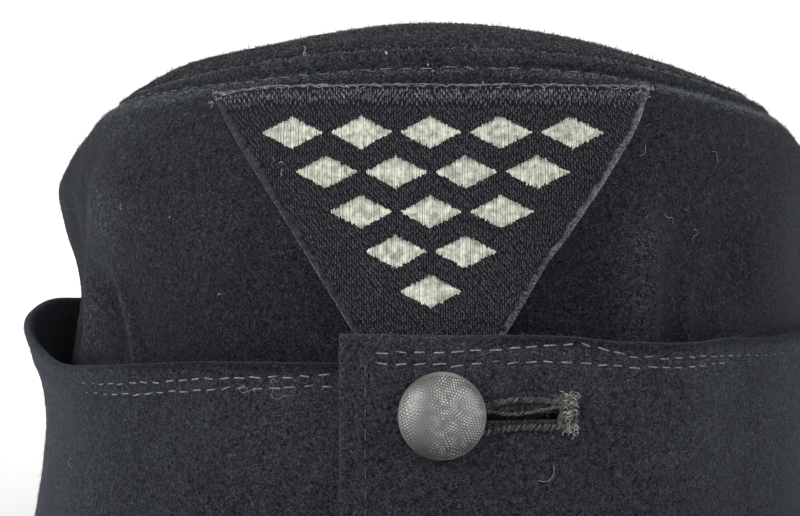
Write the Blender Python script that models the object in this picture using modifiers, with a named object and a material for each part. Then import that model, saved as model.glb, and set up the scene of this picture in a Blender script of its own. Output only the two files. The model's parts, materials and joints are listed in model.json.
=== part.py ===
"""Cloth field cap: a soft crown with an oval top, a flap turned up all round and lapped at the front
under one button, a trapezoid badge that is tucked behind the flap, and a stiff peak.

Metres, +Z up, front towards -Y. The cap rests on the back of its rim and on the edge of its peak.
A turn is an angle round the cap: 0 at the front, growing towards +X, half a circle at the back.
"""
import math
from collections import namedtuple

import bmesh
import bpy
from mathutils import Matrix, Vector

# Cloths, the slit between two pieces that are sewn together, and the head opening
CROWN_CLOTH = 0.0020
FLAP_CLOTH = 0.0022
BADGE_CLOTH = 0.0008
SEAM_GAP = 0.0003
HEAD_HALF_WIDTH = 0.0805
HEAD_HALF_LENGTH = 0.0995
OVAL_FULLNESS = 2.15

# Crown: the oval of its top seam, and heights above the table
TOP_HALF_WIDTH = 0.0680
TOP_HALF_LENGTH = 0.0880
TOP_SHIFT_X = 0.0026
TOP_SHIFT_Y = -0.0040
SEAM_FRONT_HEIGHT = 0.1058
SEAM_LEFT_HEIGHT = 0.0995
SEAM_RIGHT_HEIGHT = 0.0975
SEAM_BACK_HEIGHT = 0.0930
TOP_CENTRE_HEIGHT = 0.1160
TOP_CROWNING = 1.85

# Rim: lifted at the front, where the peak holds the cap up, and flat on the table at the back.
# Behind the peak the flap is one with the rim: its fold runs in under the foot of the crown.
FRONT_LIFT = 0.0180
REST_SHARE = 0.14
LIFT_CURVE = 1.4
FOLD_RADIUS = 0.0012
FOOT_GAP = 0.0006
FOLD_START = math.radians(64)
FOLD_EASE = math.radians(8)

# Flap: height of its edge, how far it stands off the crown at least and at most, and the front lap
FLAP_EDGE_HEIGHT = 0.0560
FLAP_EASE = 0.0006
FLAP_STAND = 0.0092
OVER_FRONT_X = -0.0163
UNDER_END_X = 0.0320
LAP_RUNOUT_START = 1.35
LAP_RUNOUT_END = 2.0

# Badge: its lower end is tucked behind the edge of the flap
BADGE_TOP_WIDTH = 0.0784
BADGE_BOTTOM_WIDTH = 0.0178
BADGE_BELOW_SEAM = 0.0042
BADGE_TUCK = 0.0073
BADGE_ROOM_HALF_WIDTH = 0.0340
BADGE_ROOM_RUNOUT = 1.6
BADGE_ROOM_LOW_RISE = 0.15
BADGE_ROOM_HIGH_RISE = 0.45

# Button and its hole
BUTTON_X = 0.0010
BUTTON_BELOW_EDGE = 0.0136
BUTTON_DIAMETER = 0.0148
BUTTON_DOME = 0.0040
BUTTON_RIM = 0.0011
BUTTON_BACK_SHARE = 0.93
SHANK_DIAMETER = 0.0030
SHANK_CLEARANCE = 0.0005
SLIT_LENGTH = 0.0215
SLIT_WIDTH = 0.0012

# Peak
PEAK_LENGTH = 0.0680
PEAK_TURN = math.radians(60)
PEAK_ROOT_THICKNESS = 0.0040
PEAK_EDGE_THICKNESS = 0.0030
PEAK_TIP_WIDTH = 0.0030
PEAK_TIP_DROP = 0.0015
PEAK_BOW = 0.0040
PEAK_FULLNESS = 2.15
PEAK_REST_SHARE = 0.30
PEAK_LIFT_CURVE = 1.7
PEAK_EDGE_ROUND = 0.0007

# Fineness of the surfaces. Rises and reaches are shares of a wall's height or of the way to an edge.
COLUMNS = 64
PEAK_COLUMNS = 28
BADGE_COLUMNS = 14
BADGE_ROWS = 16
BADGE_ROW_CROWDING = 1.5
BUTTON_SIDES = 24
DOME_STEPS = 7
TOP_REACHES = (1.0, 0.94, 0.82, 0.64, 0.42, 0.20)
FLAP_RISES = (0.14, 0.28, 0.44, 0.60, 0.76, 0.90, 1.0)
FLAP_FOLD_RISE = 0.03
FREE_CORNER_SHARE = 0.66
SLOPE_PROBE = 0.05
PEAK_REACHES = (0.0, 0.12, 0.26, 0.42, 0.58, 0.74, 0.88, 1.0)
SHARP_EDGE_ANGLE = math.radians(50)

COLUMN_TURN = 2 * math.pi / COLUMNS
RIM_HALF_WIDTH = HEAD_HALF_WIDTH + CROWN_CLOTH
RIM_HALF_LENGTH = HEAD_HALF_LENGTH + CROWN_CLOTH
FRONT, SIDE, BACK = 0.0, math.pi / 2, math.pi

# The crown wall from its foot to the top seam. rise is a share of its height. The other columns say
# how far the wall has moved from the rim's oval, 0, to the top seam's oval, 1, on each of its sides.
CrownSection = namedtuple("CrownSection", "rise left right front back")
CROWN_SECTIONS = (
    CrownSection(0.00, 0.00, 0.00, 0.00, 0.00),
    CrownSection(0.12, 0.11, 0.05, 0.06, 0.03),
    CrownSection(0.25, 0.20, 0.07, 0.14, 0.07),
    CrownSection(0.38, 0.30, 0.09, 0.23, 0.11),
    CrownSection(0.50, 0.41, 0.10, 0.33, 0.14),
    CrownSection(0.62, 0.31, 0.10, 0.43, 0.17),
    CrownSection(0.72, 0.14, 0.10, 0.53, 0.21),
    CrownSection(0.80, 0.05, 0.10, 0.62, 0.28),
    CrownSection(0.87, 0.23, 0.10, 0.70, 0.42),
    CrownSection(0.93, 0.45, 0.22, 0.78, 0.60),
    CrownSection(0.97, 0.63, 0.45, 0.87, 0.78),
    CrownSection(1.00, 1.00, 1.00, 1.00, 1.00),
)

# Soft upright folds in the crown wall. Each runs from its low turn at the share low of the wall's height
# to its high turn at the share high, and fades out there. Turns and spread are in degrees, and depth is
# a share of the head's half width: a valley below 0, a ridge above 0.
CrownFold = namedtuple("CrownFold", "low_turn high_turn spread depth low high")
CROWN_FOLDS = (
    CrownFold(-80, -62, 8, -0.036, 0.44, 0.94),
    CrownFold(-68, -50, 4, 0.010, 0.46, 0.97),
    CrownFold(-56, -58, 5, -0.036, 0.26, 0.74),
    CrownFold(-98, -94, 8, -0.014, 0.40, 0.80),
    CrownFold(19, 21, 6, -0.024, 0.42, 0.86),
    CrownFold(28, 28, 4, 0.008, 0.40, 0.86),
    CrownFold(42, 38, 7, -0.030, 0.40, 0.88),
    CrownFold(70, 62, 8, -0.018, 0.44, 0.90),
    CrownFold(112, 112, 10, -0.024, 0.46, 0.92),
    CrownFold(150, 150, 11, -0.016, 0.46, 0.92),
    CrownFold(-112, -108, 10, -0.026, 0.46, 0.92),
    CrownFold(-146, -146, 11, -0.018, 0.46, 0.92),
)

# Edge of the turned-up flap. turn is in degrees from the front, either way. The edges are shares of
# the flap's edge height, for the half that lies under at the front and the one that lies over it. The
# stands are shares of the most that the flap stands off, on the cap's left (-X) and right.
FlapEdge = namedtuple("FlapEdge", "turn under_edge over_edge left_stand right_stand")
FLAP_EDGES = (
    FlapEdge(0, 0.923, 1.009, 0.02, 0.02),
    FlapEdge(14, 0.916, 1.006, 0.04, 0.02),
    FlapEdge(29, 0.902, 0.955, 0.12, 0.05),
    FlapEdge(47, 0.857, 0.930, 0.40, 0.08),
    FlapEdge(57, 0.838, 0.922, 0.58, 0.08),
    FlapEdge(67, 0.880, 0.918, 0.80, 0.07),
    FlapEdge(76, 0.925, 0.922, 0.95, 0.06),
    FlapEdge(85, 0.950, 0.928, 1.00, 0.06),
    FlapEdge(95, 0.968, 0.936, 0.96, 0.08),
    FlapEdge(107, 0.945, 0.946, 0.80, 0.14),
    FlapEdge(135, 0.950, 0.958, 0.48, 0.26),
    FlapEdge(180, 0.962, 0.962, 0.30, 0.30),
)

# How the flap leaves the crown on its way up. rise is a share of the flap's height.
FlapSection = namedtuple("FlapSection", "rise stand")
FLAP_SECTIONS = (
    FlapSection(0.00, 0.00),
    FlapSection(0.30, 0.01),
    FlapSection(0.55, 0.08),
    FlapSection(0.75, 0.34),
    FlapSection(0.90, 0.74),
    FlapSection(1.00, 1.00),
)


def mix(a, b, share):
    return a + (b - a) * share


def ease(low, high, value):
    """0 below low, 1 above high and a smooth step between them."""
    share = min(1.0, max(0.0, (value - low) / (high - low)))
    return share * share * (3.0 - 2.0 * share)


def column(rows, name, at):
    """A table's column on a smooth curve through its rows, where the first column has this value."""
    place = [row[0] for row in rows]
    value = [getattr(row, name) for row in rows]
    last = len(rows) - 1
    i = next((k for k in range(last) if at <= place[k + 1]), last - 1)
    step = place[i + 1] - place[i]

    def slope(k):
        low, high = max(k - 1, 0), min(k + 1, last)
        return (value[high] - value[low]) / (place[high] - place[low])

    u = min(1.0, max(0.0, (at - place[i]) / step))
    return (
        value[i] * (1 + 2 * u) * (1 - u) ** 2
        + value[i + 1] * u * u * (3 - 2 * u)
        + step * (slope(i) * u * (1 - u) ** 2 - slope(i + 1) * u * u * (1 - u))
    )


def oval(half_width, half_length, turn, fullness=OVAL_FULLNESS):
    """A point of an oval seen from above."""
    sine, cosine = math.sin(turn), math.cos(turn)
    across = half_width * abs(sine) ** (2 / fullness)
    along = half_length * abs(cosine) ** (2 / fullness)
    return math.copysign(across, sine), -math.copysign(along, cosine)


def turn_at(half_width, x, fullness=OVAL_FULLNESS):
    """The turn, between the sides and the front, where an oval passes this x."""
    share = min(1.0, abs(x) / half_width)
    return math.copysign(math.asin(share ** (fullness / 2)), x)


def rim_height(turn):
    """Height of the folded lower edge."""
    forward = (1 + math.cos(turn)) / 2
    return FRONT_LIFT * (max(0.0, forward - REST_SHARE) / (1 - REST_SHARE)) ** LIFT_CURVE


def sewn_share(turn):
    """1 where the flap is one with the foot of the crown, 0 above the peak, where it hangs free."""
    return ease(FOLD_START, FOLD_START + FOLD_EASE, abs(turn))


def toe_share(turn):
    """How much of the fold's toe lies under the crown's foot. It starts a column behind the foot's step."""
    start = FOLD_START + FOLD_EASE + COLUMN_TURN
    return ease(start, start + FOLD_EASE, abs(turn))


def foot_height(turn):
    """Height of the crown wall's foot, which stands on the fold of the flap behind the peak."""
    return rim_height(turn) + sewn_share(turn) * (FLAP_CLOTH + FOOT_GAP)


def seam_height(turn):
    """Height of the top seam, level with the outer face of the top."""
    s, c = math.sin(turn), math.cos(turn)
    sides = mix(SEAM_LEFT_HEIGHT, SEAM_RIGHT_HEIGHT, (1 + s) / 2)
    ends = mix(SEAM_BACK_HEIGHT, SEAM_FRONT_HEIGHT, (1 + c) / 2)
    return mix(sides, ends, c * c)


def wall_top_height(turn):
    """The crown wall ends under the cloth of the top, which slopes at the seam."""
    fall = TOP_CROWNING * (TOP_CENTRE_HEIGHT - seam_height(turn)) / TOP_HALF_WIDTH
    return seam_height(turn) - CROWN_CLOTH * math.hypot(1, fall) - SEAM_GAP


def crown_half_sizes(turn, rise):
    """Half width and half length of the crown's outer face at this rise, on this side of the cap."""
    side = "left" if math.sin(turn) < 0 else "right"
    end = "front" if math.cos(turn) > 0 else "back"
    return (
        mix(RIM_HALF_WIDTH, TOP_HALF_WIDTH, column(CROWN_SECTIONS, side, rise)),
        mix(RIM_HALF_LENGTH, TOP_HALF_LENGTH, column(CROWN_SECTIONS, end, rise)),
    )


def crown_outline(turn, rise, grow=0.0):
    """The crown's outline at this rise, seen from above, grown outwards."""
    half_width, half_length = crown_half_sizes(turn, rise)
    x, y = oval(half_width + grow, half_length + grow, turn)
    return x + TOP_SHIFT_X * rise, y + TOP_SHIFT_Y * rise


def fold_depth(turn, rise):
    """Outward shift of the wall from its soft upright folds."""
    total = 0.0
    for fold in CROWN_FOLDS:
        share = (rise - fold.low) / (fold.high - fold.low)
        line = math.radians(mix(fold.low_turn, fold.high_turn, share))
        off = math.remainder(turn - line, 2 * math.pi) / math.radians(fold.spread)
        fade = max(0.0, 4 * share * (1 - share))
        total += fold.depth * HEAD_HALF_WIDTH * math.exp(-off * off) * fade * fade
    return total


def rise_at(turn, height):
    """The crown wall's rise at this height, 0 at its foot and below."""
    foot = foot_height(turn)
    return min(1.0, max(0.0, (height - foot) / (wall_top_height(turn) - foot)))


def crown_point(turn, rise, grow=0.0):
    """A point of the crown wall's outer face, grown outwards."""
    x, y = crown_outline(turn, rise, grow + fold_depth(turn, rise))
    return Vector((x, y, mix(foot_height(turn), wall_top_height(turn), rise)))


def top_point(turn, reach):
    """A point of the top's outer face. reach is 0 in the middle and 1 on the seam."""
    x, y = oval(TOP_HALF_WIDTH, TOP_HALF_LENGTH, turn)
    height = mix(TOP_CENTRE_HEIGHT, seam_height(turn), reach ** TOP_CROWNING)
    return Vector((x * reach + TOP_SHIFT_X, y * reach + TOP_SHIFT_Y, height))


def badge_room(turn):
    """Extra stand of the flap in front of the tucked end of the badge."""
    half = turn_at(RIM_HALF_WIDTH, BADGE_ROOM_HALF_WIDTH)
    return (BADGE_CLOTH + SEAM_GAP) * (1 - ease(half, BADGE_ROOM_RUNOUT * half, abs(turn)))


def lap_step(turn):
    """Extra stand of the upper end of the flap where it lies over the lower one."""
    end = turn_at(RIM_HALF_WIDTH, UNDER_END_X)
    return (FLAP_CLOTH + SEAM_GAP) * (1 - ease(LAP_RUNOUT_START * end, LAP_RUNOUT_END * end, turn))


def flap_height(turn, end):
    """Height of the flap's edge above the table. end is under or over."""
    return FLAP_EDGE_HEIGHT * column(FLAP_EDGES, end + "_edge", abs(math.degrees(turn)))


def flap_stand(turn, rise, end):
    """How far the flap's inner face is from the crown wall."""
    side = "left_stand" if turn < 0 else "right_stand"
    stand = FLAP_STAND * column(FLAP_EDGES, side, abs(math.degrees(turn)))
    stand *= column(FLAP_SECTIONS, "stand", rise)
    stand += FLAP_EASE + badge_room(turn) * ease(BADGE_ROOM_LOW_RISE, BADGE_ROOM_HIGH_RISE, rise)
    return stand + (lap_step(turn) if end == "over" else 0.0)


def flap_point(turn, rise, end, inward=0.0):
    """A point of the flap's outer face, or one this far inside it."""
    height = mix(rim_height(turn), flap_height(turn, end), rise)
    grow = flap_stand(turn, rise, end) + FLAP_CLOTH - inward
    x, y = crown_outline(turn, rise_at(turn, height), grow)
    return Vector((x, y, height))


def material(name, colour, roughness, metallic=0.0):
    made = bpy.data.materials.new(name)
    made.use_nodes = True
    shader = made.node_tree.nodes["Principled BSDF"]
    shader.inputs["Base Color"].default_value = (*colour, 1)
    shader.inputs["Roughness"].default_value = roughness
    shader.inputs["Metallic"].default_value = metallic
    return made


def mesh_object(name, mesh_faces, collection, look):
    """A new object from a bmesh, shaded smooth, in its collection."""
    bmesh.ops.recalc_face_normals(mesh_faces, faces=mesh_faces.faces)
    mesh = bpy.data.meshes.new(name)
    mesh_faces.to_mesh(mesh)
    mesh_faces.free()
    mesh.shade_smooth()
    mesh.set_sharp_from_angle(angle=SHARP_EDGE_ANGLE)
    made = bpy.data.objects.new(name, mesh)
    collection.objects.link(made)
    made.data.materials.append(look)
    return made


def sheet_object(name, rows, ring, collection, look, middle=None):
    """An open cloth surface through rows of points.

    ring joins the ends of each row, and middle is a point that closes the last row.
    """
    made = bmesh.new()
    grid = [[made.verts.new(point) for point in row] for row in rows]
    count = len(grid[0])
    for low, high in zip(grid, grid[1:]):
        for i in range(count if ring else count - 1):
            k = (i + 1) % count
            made.faces.new((low[i], low[k], high[k], high[i]))
    if middle is not None:
        hub = made.verts.new(middle)
        for i in range(count):
            made.faces.new((grid[-1][i], grid[-1][(i + 1) % count], hub))
    return mesh_object(name, made, collection, look)


def loft_object(name, sections, collection, look):
    """A solid through closed sections, with a flat face over each end."""
    made = bmesh.new()
    loops = [[made.verts.new(point) for point in section] for section in sections]
    for low, high in zip(loops, loops[1:]):
        for i in range(len(low)):
            k = (i + 1) % len(low)
            made.faces.new((low[i], low[k], high[k], high[i]))
    made.faces.new(loops[0])
    made.faces.new(reversed(loops[-1]))
    return mesh_object(name, made, collection, look)


def thicken(cloth, thickness, offset=-1.0):
    """Gives an open surface its cloth, inwards at offset -1 and outwards at offset 1."""
    solid = cloth.modifiers.new("Cloth", "SOLIDIFY")
    solid.thickness = thickness
    solid.offset = offset
    solid.use_even_offset = True


def turns_round(count):
    return [2 * math.pi * i / count for i in range(count)]


def make_crown_wall(collection, look):
    rises = [row.rise for row in CROWN_SECTIONS]
    rows = [[crown_point(turn, rise) for turn in turns_round(COLUMNS)] for rise in rises]
    wall = sheet_object("crown_wall", rows, True, collection, look)
    thicken(wall, CROWN_CLOTH)
    return wall


def make_crown_top(collection, look):
    rows = [[top_point(turn, reach) for turn in turns_round(COLUMNS)] for reach in TOP_REACHES]
    top = sheet_object("crown_top", rows, True, collection, look, middle=top_point(FRONT, 0.0))
    thicken(top, CROWN_CLOTH)
    return top


def flap_section(turn, end):
    """Closed section of the flap: up its outer face, down its inner one and round the toe of its fold."""
    outer = [flap_point(turn, rise, end) for rise in (FLAP_FOLD_RISE, *FLAP_RISES)]
    inner = [flap_point(turn, rise, end, FLAP_CLOTH) for rise in reversed(FLAP_RISES)]
    rim = rim_height(turn)
    inner_face = flap_stand(turn, 0.0, end)
    share = toe_share(turn)
    toe = inner_face - share * (FLAP_EASE + CROWN_CLOTH)
    toe_top = mix(FREE_CORNER_SHARE, 1.0, share) * FLAP_CLOTH
    outer_edge = inner_face + FLAP_CLOTH - FOLD_RADIUS
    bottom = []
    for out, up in ((inner_face, FLAP_CLOTH), (toe, toe_top), (toe, 0.0), (outer_edge, 0.0)):
        x, y = crown_outline(turn, 0.0, out)
        bottom.append(Vector((x, y, rim + up)))
    return outer + inner + bottom


def make_flap(end, collection, look):
    """One half of the flap, from the seam at the back to its free end at the front."""
    back_gap = SEAM_GAP / 2 / RIM_HALF_WIDTH
    if end == "over":
        front, sign = turn_at(RIM_HALF_WIDTH, OVER_FRONT_X), 1
    else:
        front, sign = -turn_at(RIM_HALF_WIDTH, UNDER_END_X), -1
    first = math.ceil(front / COLUMN_TURN + 0.3)
    turns = [front] + [i * COLUMN_TURN for i in range(first, COLUMNS // 2)] + [BACK - back_gap]
    sections = [flap_section(sign * turn, end) for turn in turns]
    return loft_object("flap_" + end, sections, collection, look)


def badge_point(across, up):
    """A point of the badge's inner face. across runs from -1 to 1 and up from 0 to 1."""
    top = wall_top_height(FRONT) - BADGE_BELOW_SEAM
    bottom = flap_height(FRONT, "over") - BADGE_TUCK
    height = mix(bottom, top, up)
    x = across * mix(BADGE_BOTTOM_WIDTH, BADGE_TOP_WIDTH, up) / 2
    turn = turn_at(RIM_HALF_WIDTH, x)
    for _ in range(4):
        rise = rise_at(turn, height)
        turn = turn_at(crown_half_sizes(turn, rise)[0], x - TOP_SHIFT_X * rise)
    return crown_point(turn, rise_at(turn, height), SEAM_GAP)


def make_badge(collection, look):
    rows = []
    for j in range(BADGE_ROWS + 1):
        up = 1 - (1 - j / BADGE_ROWS) ** BADGE_ROW_CROWDING
        rows.append([badge_point(2 * i / BADGE_COLUMNS - 1, up) for i in range(BADGE_COLUMNS + 1)])
    badge = sheet_object("badge", rows, False, collection, look)
    thicken(badge, BADGE_CLOTH, offset=1.0)
    return badge


def button_place():
    """Where the button's axis leaves the outer face of the flap, and the way it points."""
    turn = turn_at(RIM_HALF_WIDTH, BUTTON_X)
    low, high = rim_height(turn), flap_height(turn, "over")
    rise = (high - BUTTON_BELOW_EDGE - low) / (high - low)
    place = flap_point(turn, rise, "over")
    along = flap_point(turn + SLOPE_PROBE, rise, "over") - flap_point(turn - SLOPE_PROBE, rise, "over")
    up = flap_point(turn, rise + SLOPE_PROBE, "over") - flap_point(turn, rise - SLOPE_PROBE, "over")
    return place, along.cross(up).normalized()


def facing(place, direction):
    """A matrix that puts local +Z along direction and local +X level."""
    level = Vector((0, 0, 1)).cross(direction).normalized()
    rotation = Matrix((level, direction.cross(level), direction)).transposed()
    return Matrix.Translation(place) @ rotation.to_4x4()


def make_button(collection, look):
    """A domed button on a shank, turned about its axis."""
    radius, shank = BUTTON_DIAMETER / 2, SHANK_DIAMETER / 2
    back = SEAM_GAP
    profile = []
    for i in range(DOME_STEPS + 1):
        angle = math.pi / 2 * (1 - i / DOME_STEPS)
        profile.append((radius * math.cos(angle), back + BUTTON_RIM + BUTTON_DOME * math.sin(angle)))
    profile[0] = (0.0, back + BUTTON_RIM + BUTTON_DOME)
    profile += [(BUTTON_BACK_SHARE * radius, back), (shank, back), (shank, -FLAP_CLOTH), (0.0, -FLAP_CLOTH)]
    made = bmesh.new()
    points = [made.verts.new((across, 0, along)) for across, along in profile]
    for low, high in zip(points, points[1:]):
        made.edges.new((low, high))
    mesh = bpy.data.meshes.new("button")
    made.to_mesh(mesh)
    made.free()
    mesh.materials.append(look)
    button = bpy.data.objects.new("button", mesh)
    collection.objects.link(button)
    screw = button.modifiers.new("Turned", "SCREW")
    screw.steps = screw.render_steps = BUTTON_SIDES
    screw.use_merge_vertices = True
    screw.merge_threshold = 0.00005
    screw.use_smooth_shade = True
    button.matrix_world = facing(*button_place())
    return button


def make_hole_cutter(collection):
    """The buttonhole: a slit that starts at the shank and runs towards +X."""
    depth = 4 * (FLAP_CLOTH + SEAM_GAP)
    radius = SHANK_DIAMETER / 2 + SHANK_CLEARANCE
    bpy.ops.mesh.primitive_cylinder_add(vertices=16, radius=radius, depth=depth)
    eye = bpy.context.object
    eye.name = "hole_eye_cutter"
    bpy.ops.mesh.primitive_cube_add(size=1)
    slit = bpy.context.object
    slit.name = "hole_slit_cutter"
    slit.data.transform(Matrix.Diagonal((SLIT_LENGTH, SLIT_WIDTH, 3 * depth, 1)))
    slit.data.transform(Matrix.Translation((SLIT_LENGTH / 2, 0, 0)))
    place, direction = button_place()
    for cutter in (eye, slit):
        for owner in list(cutter.users_collection):
            owner.objects.unlink(cutter)
        collection.objects.link(cutter)
        cutter.matrix_world = facing(place, direction)
        cutter.hide_render = True
        cutter.display_type = "WIRE"
    return eye, slit


def cut(target, cutters):
    for cutter in cutters:
        hole = target.modifiers.new("Buttonhole", "BOOLEAN")
        hole.operation = "DIFFERENCE"
        hole.object = cutter
        hole.solver = "EXACT"


def peak_root(across):
    """Inner edge of the peak, under the crown wall's inner face."""
    turn = across * PEAK_TURN
    x, y = crown_outline(turn, 0.0, -CROWN_CLOTH)
    return Vector((x, y, rim_height(turn) - SEAM_GAP))


def peak_outer(across):
    """Outer edge of the peak's top face, resting on the table in the middle."""
    tip = peak_root(1.0)
    half_width = tip.x + PEAK_TIP_WIDTH
    reach = RIM_HALF_LENGTH + PEAK_LENGTH + tip.y
    x, y = oval(half_width, reach, across * SIDE, PEAK_FULLNESS)
    lift = (max(0.0, abs(across) - PEAK_REST_SHARE) / (1 - PEAK_REST_SHARE)) ** PEAK_LIFT_CURVE
    height = mix(PEAK_EDGE_THICKNESS, tip.z - PEAK_TIP_DROP, lift)
    return Vector((x, tip.y + y, height))


def peak_point(across, out, below=0.0):
    """A point of the peak's top face, or one this share of its thickness below it."""
    point = peak_root(across).lerp(peak_outer(across), out)
    bow = PEAK_BOW * (1 - across**2) * (4 * out * (1 - out)) ** 2
    thickness = mix(PEAK_ROOT_THICKNESS, PEAK_EDGE_THICKNESS, out)
    return point + Vector((0, 0, bow - below * thickness))


def make_peak(collection, look):
    sections = []
    for i in range(PEAK_COLUMNS + 1):
        across = 2 * i / PEAK_COLUMNS - 1
        top = [peak_point(across, out) for out in PEAK_REACHES]
        underside = [peak_point(across, out, below=1.0) for out in reversed(PEAK_REACHES)]
        outward = (top[-1] - top[-2]).to_2d().normalized() * PEAK_EDGE_ROUND
        edge = (top[-1] + underside[0]) / 2 + Vector((outward.x, outward.y, 0))
        sections.append(top + [edge] + underside)
    return loft_object("peak", sections, collection, look)


def footprint_middle():
    """Middle of the cap's footprint, between the edges of the peak, the sides and the back of the flap."""
    front = peak_outer(0.0).y - PEAK_EDGE_ROUND
    back = max(flap_point(BACK, rise / 10, "under").y for rise in range(11))
    left = min(flap_point(-SIDE, rise / 10, "under").x for rise in range(11))
    right = max(flap_point(SIDE, rise / 10, "over").x for rise in range(11))
    return Vector(((left + right) / 2, (front + back) / 2, 0))


def make_cap():
    for old in list(bpy.data.objects):
        bpy.data.objects.remove(old)
    cap = bpy.data.collections.new("field_cap")
    cutters = bpy.data.collections.new("field_cap_cutters")
    for collection in (cap, cutters):
        bpy.context.scene.collection.children.link(collection)
    cloth = material("wool_cloth", (0.030, 0.031, 0.037), 0.95)
    peak_cloth = material("peak_cloth", (0.028, 0.029, 0.034), 0.95)
    weave = material("badge_weave", (0.021, 0.021, 0.028), 0.75)
    metal = material("button_paint", (0.20, 0.20, 0.19), 0.45, 0.6)

    pieces = [
        make_crown_wall(cap, cloth),
        make_crown_top(cap, cloth),
        make_flap("under", cap, cloth),
        make_flap("over", cap, cloth),
        make_badge(cap, weave),
        make_button(cap, metal),
        make_peak(cap, peak_cloth),
    ]
    hole_cutters = make_hole_cutter(cutters)
    cut(bpy.data.objects["flap_over"], hole_cutters)

    centre = bpy.data.objects.new("footprint_centre", None)
    cap.objects.link(centre)
    for piece in pieces + list(hole_cutters):
        piece.parent = centre
    centre.location = -footprint_middle()


make_cap()
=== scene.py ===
"""Looks of a soft field cap: its wool cloth, stitching, badge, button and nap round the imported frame.

Laid out as a Blender add-on and run as a script. Metres, +Z up, front towards -Y. A turn is an angle
round the cap: 0 at the front, growing towards +X, half a circle at the back. A rise is a share of a
wall's height. The first sizes and tables repeat the ones that the cap's solids are lofted from.
"""

import itertools
import json
import math
from collections import namedtuple

import bpy
import numpy as np
from bpy.props import FloatProperty, FloatVectorProperty, IntProperty, PointerProperty
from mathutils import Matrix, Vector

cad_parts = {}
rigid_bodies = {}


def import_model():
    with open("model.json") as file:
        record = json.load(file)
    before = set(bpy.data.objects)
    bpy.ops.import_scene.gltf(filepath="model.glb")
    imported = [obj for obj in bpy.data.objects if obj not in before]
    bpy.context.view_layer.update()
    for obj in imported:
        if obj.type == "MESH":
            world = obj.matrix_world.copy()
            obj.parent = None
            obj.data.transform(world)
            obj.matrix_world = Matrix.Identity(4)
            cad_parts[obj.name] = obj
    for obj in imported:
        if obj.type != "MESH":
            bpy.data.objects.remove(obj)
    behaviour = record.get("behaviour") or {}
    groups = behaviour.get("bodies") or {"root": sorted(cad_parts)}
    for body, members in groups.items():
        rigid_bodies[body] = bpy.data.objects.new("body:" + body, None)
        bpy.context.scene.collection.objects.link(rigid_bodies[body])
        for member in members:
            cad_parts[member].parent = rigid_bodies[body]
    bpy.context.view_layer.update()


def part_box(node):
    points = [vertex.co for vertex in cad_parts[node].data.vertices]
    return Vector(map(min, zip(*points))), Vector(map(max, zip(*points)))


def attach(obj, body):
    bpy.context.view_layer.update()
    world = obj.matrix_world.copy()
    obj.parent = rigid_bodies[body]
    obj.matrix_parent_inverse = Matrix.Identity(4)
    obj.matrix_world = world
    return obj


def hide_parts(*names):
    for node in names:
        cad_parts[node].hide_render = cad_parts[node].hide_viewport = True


bl_info = {
    "name": "Field cap",
    "version": (1, 0, 0),
    "blender": (4, 5, 0),
    "location": "View3D > Sidebar > Field cap",
    "description": "Builds the cloth, stitches, badge, button and nap of a soft field cap",
    "category": "Object",
}

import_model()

MM = 0.001


def table(columns, *rows):
    """Rows of values, whose columns have names."""
    return tuple(map(namedtuple("Row", columns)._make, rows))


# Cloths, the slit between two pieces that are sewn together, and the head opening
CROWN_CLOTH = 0.0020
FLAP_CLOTH = 0.0022
BADGE_CLOTH = 0.0008
SEAM_GAP = 0.0003
HEAD_HALF_WIDTH = 0.0805
HEAD_HALF_LENGTH = 0.0995
OVAL_FULLNESS = 2.15

# Crown: the oval of its top seam, and heights above the table
TOP_HALF_WIDTH = 0.0680
TOP_HALF_LENGTH = 0.0880
TOP_SHIFT_X = 0.0026
TOP_SHIFT_Y = -0.0040
SEAM_FRONT_HEIGHT = 0.1058
SEAM_LEFT_HEIGHT = 0.0995
SEAM_RIGHT_HEIGHT = 0.0975
SEAM_BACK_HEIGHT = 0.0930
TOP_CENTRE_HEIGHT = 0.1160
TOP_CROWNING = 1.85

# Rim, lifted at the front
FRONT_LIFT = 0.0180
REST_SHARE = 0.14
LIFT_CURVE = 1.4
FOLD_RADIUS = 0.0012
FOOT_GAP = 0.0006
FOLD_START = math.radians(64)
FOLD_EASE = math.radians(8)
TOE_DELAY = 2 * math.pi / 64
TOE_CLOSE_START = math.radians(48)
TOE_CLOSE_END = math.radians(54)

# Flap: height of its edge, how far it stands off the crown at least and at most, and the front lap
FLAP_EDGE_HEIGHT = 0.0560
FLAP_EASE = 0.0006
FLAP_STAND = 0.0092
FRONT_EDGE_X = -0.0160
UNDER_END_X = 0.0320
LAP_RUNOUT_START = 1.35
LAP_RUNOUT_END = 2.0
FREE_CORNER_SHARE = 0.66

# Badge, tucked behind the edge of the flap
BADGE_TOP_WIDTH = 0.0784
BADGE_BOTTOM_WIDTH = 0.0178
BADGE_BELOW_SEAM = 0.0042
BADGE_TUCK = 0.0073
BADGE_ROOM_HALF_WIDTH = 0.0340
BADGE_ROOM_RUNOUT = 1.6
BADGE_ROOM_LOW_RISE = 0.15
BADGE_ROOM_HIGH_RISE = 0.45
BADGE_RAISE = 0.00035
BADGE_SAG = 0.0011
BADGE_SAG_START = 0.026

# Button and its hole
BUTTON_X = 0.0010
BUTTON_BELOW_EDGE = 0.0136
BUTTON_DIAMETER = 0.0148
BUTTON_DOME = 0.0040
BUTTON_RIM = 0.0011
SHANK_DIAMETER = 0.0030
SHANK_CLEARANCE = 0.0005
SLIT_LENGTH = 0.0215
SLIT_WIDTH = 0.0012

# Peak
PEAK_LENGTH = 0.0680
PEAK_TURN = math.radians(60)
PEAK_ROOT_THICKNESS = 0.0040
PEAK_EDGE_THICKNESS = 0.0030
PEAK_TIP_WIDTH = 0.0030
PEAK_TIP_DROP = 0.0015
PEAK_BOW = 0.0040
PEAK_REST_SHARE = 0.30
PEAK_LIFT_CURVE = 1.7

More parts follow.
